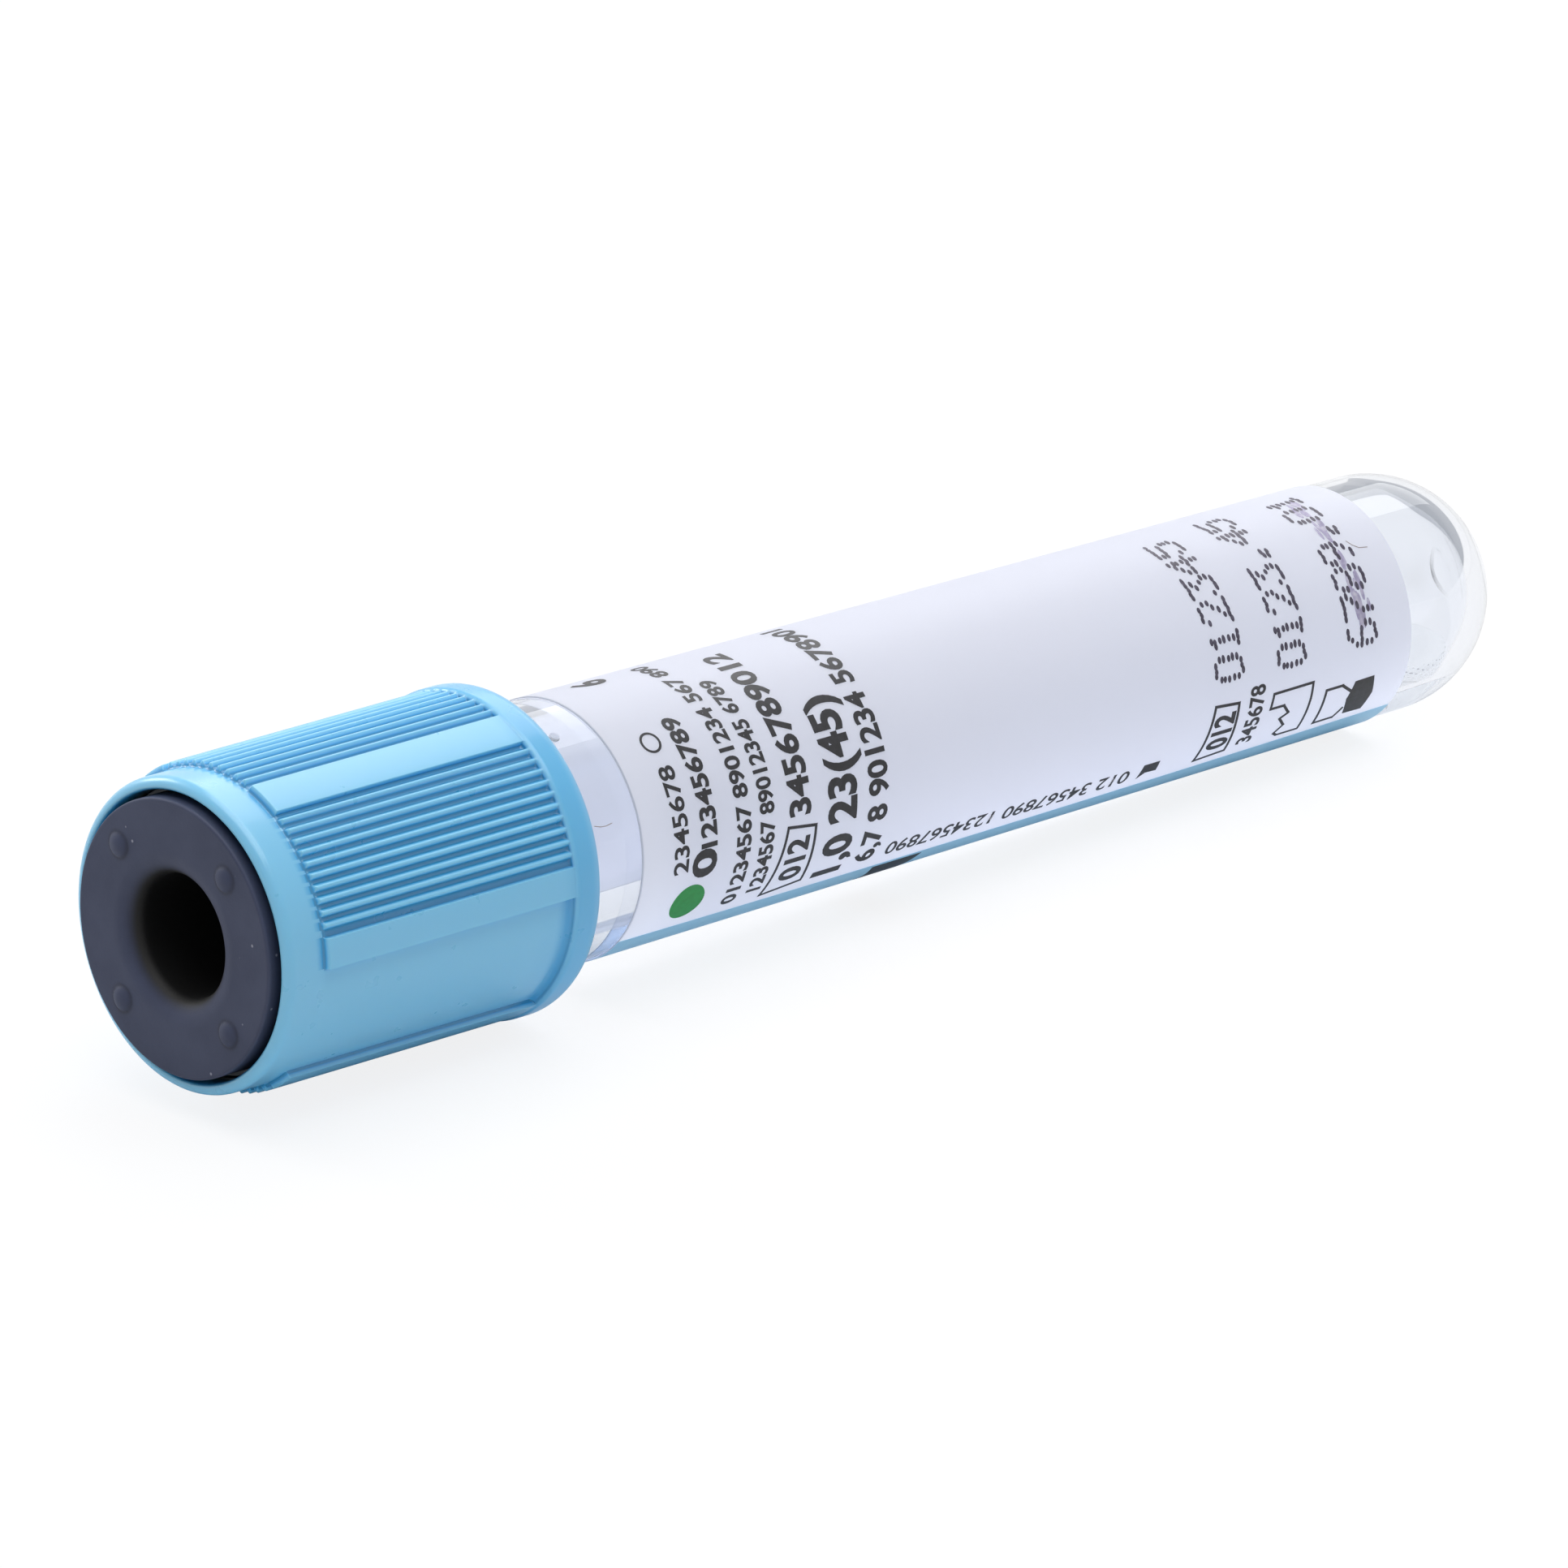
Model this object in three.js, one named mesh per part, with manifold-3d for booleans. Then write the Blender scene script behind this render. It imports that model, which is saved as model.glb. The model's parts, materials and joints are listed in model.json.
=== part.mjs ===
// Blood collection tube of the 13 x 75 mm class: a clear tapered tube with a round end, the label
// wrapped on it, the rubber stopper that seals it, the push-on safety cap over the stopper, and
// the measured solution that it is supplied with.
// Millimetres, +Z up. The tube lies on its cap's flange and on its round end, with the cap at -X.
//
// Every piece is made in the tube's own frame: x runs along the axis from the stopper's face to
// the round end, and an angle turns about x from +y towards +z. The last lines lay it down.
import * as THREE from "three";
import { mergeVertices } from "three/addons/utils/BufferGeometryUtils.js";
import Module from "manifold-3d";

const wasm = await Module();
wasm.setup();

// ---------------------------------------------------------------- driving dimensions

// Facets round the axis. One facet faces straight down, so the tube lies on flats.
const SIDES = 24;
const ARC_STEPS = 3; // steps in a small rounding
const DOME_STEPS = 9; // steps in a quarter of the round end

// Tube
const TUBE_LENGTH = 75; // mouth to round end
const TUBE_MOUTH_DIAMETER = 13;
const TUBE_TAPER = 0.0087; // radius lost in each millimetre of length
const TUBE_WALL = 1.0;
const TUBE_LIP_ROUNDING = 0.3;
const GATE_RADIUS = 1.4; // the shallow round left by moulding in the middle of the round end
const GATE_DEPTH = 0.25;

// Stopper
const STOPPER_ABOVE_MOUTH = 8.15; // face to the shoulder that sits on the tube's mouth
const STOPPER_HEAD_THICKNESS = 2.0;
const STOPPER_WAIST_LENGTH = 1.2; // the groove that the cap's ledge snaps into
const STOPPER_EDGE_ROUNDING = 0.12;
const PLUG_LENGTH = 8.2;
const PLUG_RING_COUNT = 3;
const PLUG_RING_SHARE = 0.6; // of each ring's pitch
const PLUG_GROOVE_DEPTH = 0.2;
const PLUG_NOSE = 0.6; // chamfer that leads the plug in
const WELL_RADIUS = 3.0; // the hollow that the needle enters by
const WELL_DEPTH = 6.0;
const WELL_LIP_ROUNDING = 0.8;
const SEPTUM_THICKNESS = 4.0; // what the needle pierces
const PLUG_HOLLOW_RADIUS = 3.0;
const BUMP_COUNT = 4;
const BUMP_CIRCLE_RADIUS = 5.32;
const BUMP_RADIUS = 0.6;
const BUMP_HEIGHT = 0.25;
const BUMP_FIRST_ANGLE = 41.5;
const BUMP_SIDES = 12;
const BUMP_RINGS = 8;

// Cap
const CAP_LENGTH = 19.45;
const CAP_RIM_SETBACK = 0.45; // the stopper's face stands this far out of the rim
const CAP_WALL = 0.97; // round the tube
const CAP_RIM_WALL = 0.6; // round the stopper
const CAP_RIM_ROUNDING = 0.5; // less than the rim's wall
const CAP_LEDGE_THICKNESS = 0.9;
const CAP_LEDGE_GRIP = 0.45; // how far the ledge reaches in under the stopper's head
const CAP_LEAD_IN = 0.3;
const FLANGE_HEIGHT = 0.45;
const FLANGE_WIDTH = 2.0;
const FLANGE_FRONT_ROUNDING = 0.25;
const FLANGE_BACK_ROUNDING = 1.0;

// Grip pads, raised on the cap
const PAD_COUNT = 2;
const PAD_HEIGHT = 0.36;
const PAD_START = 2.15; // from the cap's rim
const PAD_FIRST_ANGLE = 113.2;
const PAD_ROOT_DEPTH = 0.3; // how far a pad's root lies inside the cap's wall
const CENTRE_STRIP_ANGLE = 14.5; // plain strip in the middle of a pad
const END_STRIP_ANGLE = 11.3; // plain strip at each side of a pad
const RIBS_PER_SIDE = 10;
const RIB_PITCH_ANGLE = 4.37;
const RIB_FROM_CENTRE_STRIP = 3.5; // angle from the strip to the nearest rib's middle
const RIB_FROM_END_STRIP = 4.15;
const RIB_FOOT_ANGLE = 2.9;
const RIB_CREST_ANGLE = 1.2;
const RIB_HEIGHT = 0.26;
const STRIP_STEP_ANGLE = 3.7; // facets along a plain strip

// Label
const LABEL_TO_CAP = 3.6;
const LABEL_TO_ROUND_END = 2.85; // to where the round end begins
const LABEL_THICKNESS = 0.05;
const LABEL_WINDOW_START = 262; // the strip left open to read the fill through
const LABEL_WINDOW_ANGLE = 28;

// Solution
const SOLUTION_VOLUME = 300; // cubic millimetres
const SOLUTION_CLEAR_OF_PLUG = 1.0;
const LEVEL_HALVINGS = 24; // steps in the search for the solution's level

// Clearances
const PLUG_CLEARANCE = 0.03; // the rubber really fills the bore
const SEAT_GAP = 0.05; // shoulder to mouth
const SKIRT_CLEARANCE = 0.15; // cap to tube
const STOPPER_SIDE_GAP = 0.29; // stopper's head to cap's rim
const LEDGE_CLEARANCE = 0.12; // ledge to the groove that it sits in
const LABEL_GAP = 0.02;
const SOLUTION_GAP = 0.03;
const CUT_MARGIN = 1; // how far a cut runs past what it cuts
const MERGE_DISTANCE = 1e-5; // corners nearer than this are one corner

// ---------------------------------------------------------------- sizes that follow

const mouthAt = STOPPER_ABOVE_MOUTH + SEAT_GAP;
const mouthRadius = TUBE_MOUTH_DIAMETER / 2;
const tubeEnd = mouthAt + TUBE_LENGTH;
// The round end is a half ball that meets the taper where their radii agree.
const domeRadius = (mouthRadius - TUBE_TAPER * TUBE_LENGTH) / (1 - TUBE_TAPER);
const domeAt = tubeEnd - domeRadius;
const innerDomeRadius = domeRadius - TUBE_WALL;
const plugEnd = STOPPER_ABOVE_MOUTH + PLUG_LENGTH;

const skirtBore = mouthRadius + SKIRT_CLEARANCE;
const capRadius = skirtBore + CAP_WALL;
const pocketBore = capRadius - CAP_RIM_WALL;
const stopperRadius = pocketBore - STOPPER_SIDE_GAP;
const ledgeBore = stopperRadius - CAP_LEDGE_GRIP;
const waistRadius = ledgeBore - LEDGE_CLEARANCE;
const ledgeAt = STOPPER_HEAD_THICKNESS + (STOPPER_WAIST_LENGTH - CAP_LEDGE_THICKNESS) / 2;
const capEnd = CAP_RIM_SETBACK + CAP_LENGTH;
const flangeFront = capEnd - FLANGE_WIDTH;
const flangeRadius = capRadius + FLANGE_HEIGHT;
const flangeTread = capEnd - FLANGE_BACK_ROUNDING; // where the flange's widest band ends
const padRadius = capRadius + PAD_HEIGHT;
const padAt = CAP_RIM_SETBACK + PAD_START;

const labelStart = capEnd + LABEL_TO_CAP;
const labelEnd = domeAt - LABEL_TO_ROUND_END;
const labelReach = LABEL_GAP + LABEL_THICKNESS; // label's outside over the tube's

function tubeRadius(x) {
  return mouthRadius - TUBE_TAPER * (x - mouthAt);
}

function boreRadius(x) {
  return tubeRadius(x) - TUBE_WALL;
}

// The tube touches the ground with the flange and with whichever comes first at the far end.
const farTouches = [
  [domeAt, domeRadius],
  [labelEnd, tubeRadius(labelEnd) + labelReach],
];
const slopes = farTouches.map(([x, radius]) => (flangeRadius - radius) / (x - flangeTread));
const restTilt = Math.atan(Math.min(...slopes));

// ---------------------------------------------------------------- shape helpers

const radians = THREE.MathUtils.degToRad;

// Turns geometry whose own axis is Y (a lathe) or Z (an extrusion) to run along x.
const Y_TO_X = new THREE.Matrix4().set(0, 1, 0, 0, 0, 0, 1, 0, 1, 0, 0, 0, 0, 0, 0, 1);
const Z_TO_X = new THREE.Matrix4().set(0, 0, 1, 0, 1, 0, 0, 0, 0, 1, 0, 0, 0, 0, 0, 1);

// Points of an arc in the (x, radius) plane, its angle turning from +x towards +radius.
function arc(x, radius, size, from, to, steps = ARC_STEPS) {
  const points = [];
  for (let i = 0; i <= steps; i += 1) {
    const angle = radians(from + ((to - from) * i) / steps);
    points.push([x + size * Math.cos(angle), radius + size * Math.sin(angle)]);
  }
  return points;
}

// A solid of revolution about the tube's axis. Its facets lie outside the true circle and touch
// it, inside and out alike, so the clearance between two turned pieces is the same all round.
function turned(profile) {
  const outside = 1 / Math.cos(Math.PI / SIDES);
  const points = profile.map(([x, radius]) => new THREE.Vector2(radius * outside, x));
  const geometry = new THREE.LatheGeometry(points, SIDES, Math.PI / SIDES);
  return solid(geometry.applyMatrix4(Y_TO_X));
}

// A solid whose outline, in (y, z), runs from one x to another.
function prism(outline, from, to) {
  const shape = new THREE.Shape(outline.map(([y, z]) => new THREE.Vector2(y, z)));
  const geometry = new THREE.ExtrudeGeometry(shape, { depth: to - from, bevelEnabled: false });
  return solid(geometry.translate(0, 0, from).applyMatrix4(Z_TO_X));
}

function polar(radius, degrees) {
  return [radius * Math.cos(radians(degrees)), radius * Math.sin(radians(degrees))];
}

// A closed geometry as a manifold-3d solid, without the empty triangles that a pole leaves.
function solid(geometry) {
  geometry.deleteAttribute("normal");
  geometry.deleteAttribute("uv");
  const merged = mergeVertices(geometry, MERGE_DISTANCE);
  const corners = merged.index.array;
  const kept = [];
  for (let i = 0; i < corners.length; i += 3) {
    const [a, b, c] = corners.slice(i, i + 3);
    if (a !== b && b !== c && c !== a) kept.push(a, b, c);
  }
  const vertProperties = new Float32Array(merged.attributes.position.array);
  const triVerts = new Uint32Array(kept);
  return new wasm.Manifold(new wasm.Mesh({ numProp: 3, vertProperties, triVerts }));
}

function geometryOf(made) {
  const mesh = made.getMesh();
  const geometry = new THREE.BufferGeometry();
  geometry.setAttribute("position", new THREE.BufferAttribute(mesh.vertProperties, 3));
  geometry.setIndex(new THREE.BufferAttribute(mesh.triVerts, 1));
  geometry.computeVertexNormals();
  return geometry;
}

function piece(name, made, material) {
  const mesh = new THREE.Mesh(geometryOf(made), material);
  mesh.name = name;
  return mesh;
}

// ---------------------------------------------------------------- tube

// Thin-walled, open at the mouth, closed by a half ball with the moulding gate in its middle.
function makeTube() {
  const gateEdge = domeAt + Math.sqrt(domeRadius ** 2 - GATE_RADIUS ** 2);
  const gateEdgeAngle = THREE.MathUtils.radToDeg(Math.asin(GATE_RADIUS / domeRadius));
  return turned([
    [domeAt + innerDomeRadius, 0],
    ...arc(domeAt, 0, innerDomeRadius, 0, 90, DOME_STEPS).slice(1),
    [mouthAt, boreRadius(mouthAt)],
    [mouthAt, mouthRadius - TUBE_LIP_ROUNDING],
    ...arc(mouthAt + TUBE_LIP_ROUNDING, mouthRadius - TUBE_LIP_ROUNDING, TUBE_LIP_ROUNDING, 180, 90)
      .slice(1),
    ...arc(domeAt, 0, domeRadius, 90, gateEdgeAngle, DOME_STEPS),
    [gateEdge - GATE_DEPTH, GATE_RADIUS],
    [gateEdge - GATE_DEPTH, 0],
  ]);
}

// ---------------------------------------------------------------- stopper

// Sealing rings down the plug, each a plateau that fills the bore, with a groove after it.
function plugRings() {
  const ringsEnd = plugEnd - PLUG_NOSE;
  const pitch = (ringsEnd - STOPPER_ABOVE_MOUTH) / PLUG_RING_COUNT;
  const points = [];
  for (let i = 0; i < PLUG_RING_COUNT; i += 1) {
    const start = STOPPER_ABOVE_MOUTH + i * pitch;
    const groove = start + pitch * (1 - PLUG_RING_SHARE);
    const end = start + pitch;
    const low = boreRadius(groove) - PLUG_CLEARANCE - PLUG_GROOVE_DEPTH;
    points.push([start, low]);
    points.push([groove, low]);
    points.push([groove, boreRadius(groove) - PLUG_CLEARANCE]);
    points.push([end, boreRadius(end) - PLUG_CLEARANCE]);
  }
  points.push([plugEnd, boreRadius(plugEnd) - PLUG_CLEARANCE - PLUG_NOSE]);
  return points;
}

// Small round witness marks that stand up from the face.
function faceBump(degrees) {
  const ball = (BUMP_RADIUS ** 2 + BUMP_HEIGHT ** 2) / (2 * BUMP_HEIGHT);
  const [y, z] = polar(BUMP_CIRCLE_RADIUS, degrees);
  const geometry = new THREE.SphereGeometry(ball, BUMP_SIDES, BUMP_RINGS);
  return solid(geometry.translate(ball - BUMP_HEIGHT, y, z));
}

// Head with the needle well, groove for the cap's ledge, shoulder on the tube's mouth, and plug.
function makeStopper() {
  const waistEnd = STOPPER_HEAD_THICKNESS + STOPPER_WAIST_LENGTH;
  const edge = STOPPER_EDGE_ROUNDING;
  const lip = WELL_LIP_ROUNDING;
  let stopper = turned([
    [WELL_DEPTH, 0],
    [WELL_DEPTH, WELL_RADIUS],
    ...arc(lip, WELL_RADIUS + lip, lip, 270, 180, ARC_STEPS + 1),
    [0, stopperRadius - edge],
    [edge, stopperRadius],
    [STOPPER_HEAD_THICKNESS, stopperRadius],
    [STOPPER_HEAD_THICKNESS, waistRadius],
    [waistEnd, waistRadius],
    [waistEnd, stopperRadius],
    [STOPPER_ABOVE_MOUTH, stopperRadius],
    ...plugRings(),
    [plugEnd, PLUG_HOLLOW_RADIUS],
    [WELL_DEPTH + SEPTUM_THICKNESS, PLUG_HOLLOW_RADIUS],
    [WELL_DEPTH + SEPTUM_THICKNESS, 0],
  ]);
  for (let i = 0; i < BUMP_COUNT; i += 1) {
    stopper = stopper.add(faceBump(BUMP_FIRST_ANGLE + (i * 360) / BUMP_COUNT));
  }
  return stopper;
}

// ---------------------------------------------------------------- cap

// Rim, wall and flange outside; pocket, ledge and skirt inside.
function capShell() {
  const rim = CAP_RIM_SETBACK;
  const round = CAP_RIM_ROUNDING;
  const front = FLANGE_FRONT_ROUNDING;
  const back = FLANGE_BACK_ROUNDING;
  const ledgeEnd = ledgeAt + CAP_LEDGE_THICKNESS;
  const pocketEnd = STOPPER_ABOVE_MOUTH + LEDGE_CLEARANCE;
  return turned([
    [rim, pocketBore],
    ...arc(rim + round, capRadius - round, round, 180, 90),
    [flangeFront, capRadius],
    ...arc(flangeFront + front, flangeRadius - front, front, 180, 90, ARC_STEPS - 1),
    ...arc(flangeTread, flangeRadius - back, back, 90, 0, ARC_STEPS + 1),
    [capEnd, skirtBore + CAP_LEAD_IN],
    [capEnd - CAP_LEAD_IN, skirtBore],
    [pocketEnd, skirtBore],
    [pocketEnd, pocketBore],
    [ledgeEnd, pocketBore],
    [ledgeEnd, ledgeBore],
    [ledgeAt, ledgeBore],
    [ledgeAt, pocketBore],
    [rim, pocketBore],
  ]);
}

// Angles from a pad's middle to its first rib, and to its end strip.
const firstRib = CENTRE_STRIP_ANGLE / 2 + RIB_FROM_CENTRE_STRIP;
const endStrip = firstRib + (RIBS_PER_SIDE - 1) * RIB_PITCH_ANGLE + RIB_FROM_END_STRIP;

// One side of a pad's outline, from its middle outwards: half the plain strip, ribs, end strip.
function padSide() {
  const crest = padRadius;
  const floor = padRadius - RIB_HEIGHT;
  const points = [];
  const strip = (from, to) => {
    const steps = Math.ceil((to - from) / STRIP_STEP_ANGLE);
    for (let i = 0; i <= steps; i += 1) points.push([crest, from + ((to - from) * i) / steps]);
  };
  strip(0, CENTRE_STRIP_ANGLE / 2);
  points.push([floor, CENTRE_STRIP_ANGLE / 2]);
  for (let i = 0; i < RIBS_PER_SIDE; i += 1) {
    const middle = firstRib + i * RIB_PITCH_ANGLE;
    points.push([floor, middle - RIB_FOOT_ANGLE / 2]);
    points.push([crest, middle - RIB_CREST_ANGLE / 2]);
    points.push([crest, middle + RIB_CREST_ANGLE / 2]);
    points.push([floor, middle + RIB_FOOT_ANGLE / 2]);
  }
  points.push([floor, endStrip]);
  strip(endStrip, endStrip + END_STRIP_ANGLE);
  return points;
}

// A pad runs from its start to the flange. Its root lies inside the cap's wall.
function gripPad(middle) {
  const side = padSide();
  const other = side.slice(1).reverse().map(([radius, angle]) => [radius, -angle]);
  const halfAngle = endStrip + END_STRIP_ANGLE;
  const rootSteps = Math.ceil((2 * halfAngle * SIDES) / 360);
  const root = [];
  for (let i = 0; i <= rootSteps; i += 1) {
    root.push([capRadius - PAD_ROOT_DEPTH, halfAngle - (2 * halfAngle * i) / rootSteps]);
  }
  const outline = [...other, ...side, ...root].map(([radius, angle]) =>
    polar(radius, middle + angle),
  );
  return prism(outline, padAt, flangeFront + FLANGE_FRONT_ROUNDING);
}

function makeCap() {
  let cap = capShell();
  for (let i = 0; i < PAD_COUNT; i += 1) {
    cap = cap.add(gripPad(PAD_FIRST_ANGLE + (i * 360) / PAD_COUNT));
  }
  return cap;
}

// ---------------------------------------------------------------- label

// A film wrapped round the tube, which stops short of meeting itself and leaves a window.
function makeLabel() {
  const inner = (x) => tubeRadius(x) + LABEL_GAP;
  const outer = (x) => tubeRadius(x) + labelReach;
  const wrap = turned([
    [labelStart, inner(labelStart)],
    [labelStart, outer(labelStart)],
    [labelEnd, outer(labelEnd)],
    [labelEnd, inner(labelEnd)],
    [labelStart, inner(labelStart)],
  ]);
  const past = 2 * mouthRadius;
  const window = prism(
    [
      [0, 0],
      polar(past, LABEL_WINDOW_START),
      polar(past, LABEL_WINDOW_START + LABEL_WINDOW_ANGLE / 2),
      polar(past, LABEL_WINDOW_START + LABEL_WINDOW_ANGLE),
    ],
    labelStart - CUT_MARGIN,
    labelEnd + CUT_MARGIN,
  );
  return wrap.subtract(window);
}

// ---------------------------------------------------------------- solution

// Everything in the bore that lies below a level surface, as the tube rests.
function solutionBelow(level) {
  const start = plugEnd + SOLUTION_CLEAR_OF_PLUG;
  const radius = innerDomeRadius - SOLUTION_GAP;
  const inside = turned([
    [start, 0],
    [start, boreRadius(start) - SOLUTION_GAP],
    ...arc(domeAt, 0, radius, 90, 0, DOME_STEPS).slice(0, -1),
    [domeAt + radius, 0],
  ]);
  const past = 3 * tubeEnd;
  const below = new THREE.BoxGeometry(past, past, past);
  below.translate(0, 0, level - past / 2).rotateY(-restTilt);
  return inside.intersect(solid(below));
}

// The level at which the solution has its volume, found by halving.
function makeSolution() {
  let low = -tubeEnd * Math.sin(restTilt) - mouthRadius;
  let high = 0;
  for (let i = 0; i < LEVEL_HALVINGS; i += 1) {
    const level = (low + high) / 2;
    if (solutionBelow(level).volume() < SOLUTION_VOLUME) low = level;
    else high = level;
  }
  return solutionBelow(high);
}

// ---------------------------------------------------------------- assembly

const materials = {
  clearPlastic: new THREE.MeshStandardMaterial({
    color: 0xe9eef4,
    roughness: 0.06,
    metalness: 0,
    transparent: true,
    opacity: 0.3,
  }),
  rubber: new THREE.MeshStandardMaterial({ color: 0x4b4e61, roughness: 0.75, metalness: 0 }),
  capPlastic: new THREE.MeshStandardMaterial({ color: 0x7cbfe6, roughness: 0.4, metalness: 0 }),
  film: new THREE.MeshStandardMaterial({ color: 0xe6e6f0, roughness: 0.5, metalness: 0 }),
  solution: new THREE.MeshStandardMaterial({
    color: 0xf4f7fa,
    roughness: 0.02,
    metalness: 0,
    transparent: true,
    opacity: 0.25,
  }),
};

const lying = new THREE.Group();
lying.add(piece("tube", makeTube(), materials.clearPlastic));
lying.add(piece("stopper", makeStopper(), materials.rubber));
lying.add(piece("cap", makeCap(), materials.capPlastic));
lying.add(piece("label", makeLabel(), materials.film));
lying.add(piece("solution", makeSolution(), materials.solution));
lying.rotation.y = restTilt;

// The origin is on the ground, under the middle of the whole object.
const group = new THREE.Group();
group.add(lying);
const box = new THREE.Box3().setFromObject(group, true);
const middle = box.getCenter(new THREE.Vector3());
lying.position.set(-middle.x, -middle.y, -box.min.z);

export default group;
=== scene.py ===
"""Looks of a blood collection tube: clear tube, rubber stopper, light blue safety cap, printed label.

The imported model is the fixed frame. Every piece is worked out in the tube's own frame, in
millimetres: x runs along the axis from the stopper's face to the round end, and an angle in
degrees turns about that axis, 90 up and 180 to the front. TubeFrame turns that into metres.
"""

import json
import logging
import math
from dataclasses import dataclass, field
from enum import Enum

import bmesh
import bpy
import numpy as np
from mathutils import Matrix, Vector

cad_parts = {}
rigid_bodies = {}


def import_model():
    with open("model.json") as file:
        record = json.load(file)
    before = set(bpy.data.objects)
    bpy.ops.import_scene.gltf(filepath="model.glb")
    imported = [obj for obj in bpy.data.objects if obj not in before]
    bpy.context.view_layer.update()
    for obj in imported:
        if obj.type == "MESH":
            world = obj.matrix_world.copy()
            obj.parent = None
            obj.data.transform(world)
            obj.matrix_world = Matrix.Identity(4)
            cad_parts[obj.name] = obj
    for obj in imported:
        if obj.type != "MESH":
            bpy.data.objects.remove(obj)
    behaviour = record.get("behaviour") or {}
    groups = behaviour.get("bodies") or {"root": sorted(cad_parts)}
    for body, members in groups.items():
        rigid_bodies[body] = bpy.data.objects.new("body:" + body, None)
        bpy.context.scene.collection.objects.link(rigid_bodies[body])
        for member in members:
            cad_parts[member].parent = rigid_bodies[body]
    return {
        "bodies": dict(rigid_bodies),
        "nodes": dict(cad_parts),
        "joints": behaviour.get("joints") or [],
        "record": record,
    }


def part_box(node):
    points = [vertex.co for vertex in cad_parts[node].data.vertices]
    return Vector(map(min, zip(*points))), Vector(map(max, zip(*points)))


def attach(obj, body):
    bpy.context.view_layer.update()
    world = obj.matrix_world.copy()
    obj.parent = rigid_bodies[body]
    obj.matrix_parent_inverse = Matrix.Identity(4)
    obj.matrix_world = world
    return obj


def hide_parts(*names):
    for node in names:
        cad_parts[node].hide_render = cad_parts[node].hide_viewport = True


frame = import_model()

MM = 0.001  # metres in a millimetre
log = logging.getLogger("blood_collection_tube")


class Body(Enum):
    """The CAD bodies that a piece can ride on."""

    TUBE = "tube_body"
    CLOSURE = "closure"


class Slot(Enum):
    """The record's material slots."""

    CLEAR_PLASTIC = "clear_plastic"
    STOPPER_RUBBER = "stopper_rubber"
    CAP_PLASTIC = "cap_plastic"
    LABEL_FILM = "label_film"
    CLEAR_SOLUTION = "clear_solution"


# ------------------------------------------------------------------ the tube's own frame


@dataclass(frozen=True)
class TubeFrame:
    """The tube's own frame inside the part's frame.

    Attributes:
        origin: middle of the stopper's face, in metres.
        tilt: angle by which the axis dips towards the round end, in radians.
    """

    origin: tuple[float, float, float]
    tilt: float

    @classmethod
    def of_packed_part(cls, packed: dict, flange_tread: float) -> "TubeFrame":
        """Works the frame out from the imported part.

        The closure slides along the axis, which gives the tilt. The flange lies on the ground,
        so its radius and tilt give the height of the axis, and the mount on the stopper's face
        gives the place of the face along the axis.

        Args:
            flange_tread: x where the flange touches the ground, in millimetres.

        Returns:
            The frame.
        """
        pull = packed["joints"][0]["axis"]
        tilt = math.atan2(pull[2], -pull[0])
        flange_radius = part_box("cap")[1].y
        height = flange_radius * math.cos(tilt) + flange_tread * MM * math.sin(tilt)
        on_face = packed["record"]["mounts"][0]["pos_m"]
        middle = on_face[0] - (on_face[2] - height) * math.tan(tilt)
        return cls((middle, 0.0, height), tilt)

    def place(self, x: np.ndarray, radius: np.ndarray, angle: np.ndarray) -> np.ndarray:
        """Points of the tube's frame in metres.

        Formula: origin plus x along the axis, radius times the cosine of the angle to the side,
        and radius times its sine along the axis's own upward normal.

        Args:
            x: distance along the axis, in millimetres.
            radius: distance from the axis, in millimetres.
            angle: turn about the axis, in degrees.

        Returns:
            An array of the broadcast shape with a last axis of 3.
        """
        x, radius, turn = np.broadcast_arrays(x, radius, np.radians(angle))
        along = x * MM
        aside = radius * np.cos(turn) * MM
        above = radius * np.sin(turn) * MM
        dip, level = math.sin(self.tilt), math.cos(self.tilt)
        return np.stack(
            [
                self.origin[0] + along * level + above * dip,
                self.origin[1] + aside,
                self.origin[2] - along * dip + above * level,
            ],
            axis=-1,
        )


# ------------------------------------------------------------------ profiles


def arc(x: float, radius: float, size: float, start: float, end: float, steps: int) -> np.ndarray:
    """Points of an arc in the (x, radius) plane.

    Formula: (x + size cos t, radius + size sin t) for t from start to end in equal steps.

    Args:
        x: centre along the axis.
        radius: centre's distance from the axis.
        size: the arc's own radius.
        start: first angle in degrees, from +x towards +radius.
        end: last angle in degrees.
        steps: number of steps between them.

    Returns:
        An array of steps + 1 rows of (x, radius).
    """
    turn = np.radians(np.linspace(start, end, steps + 1))
    return np.stack([x + size * np.cos(turn), radius + size * np.sin(turn)], axis=-1)


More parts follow.
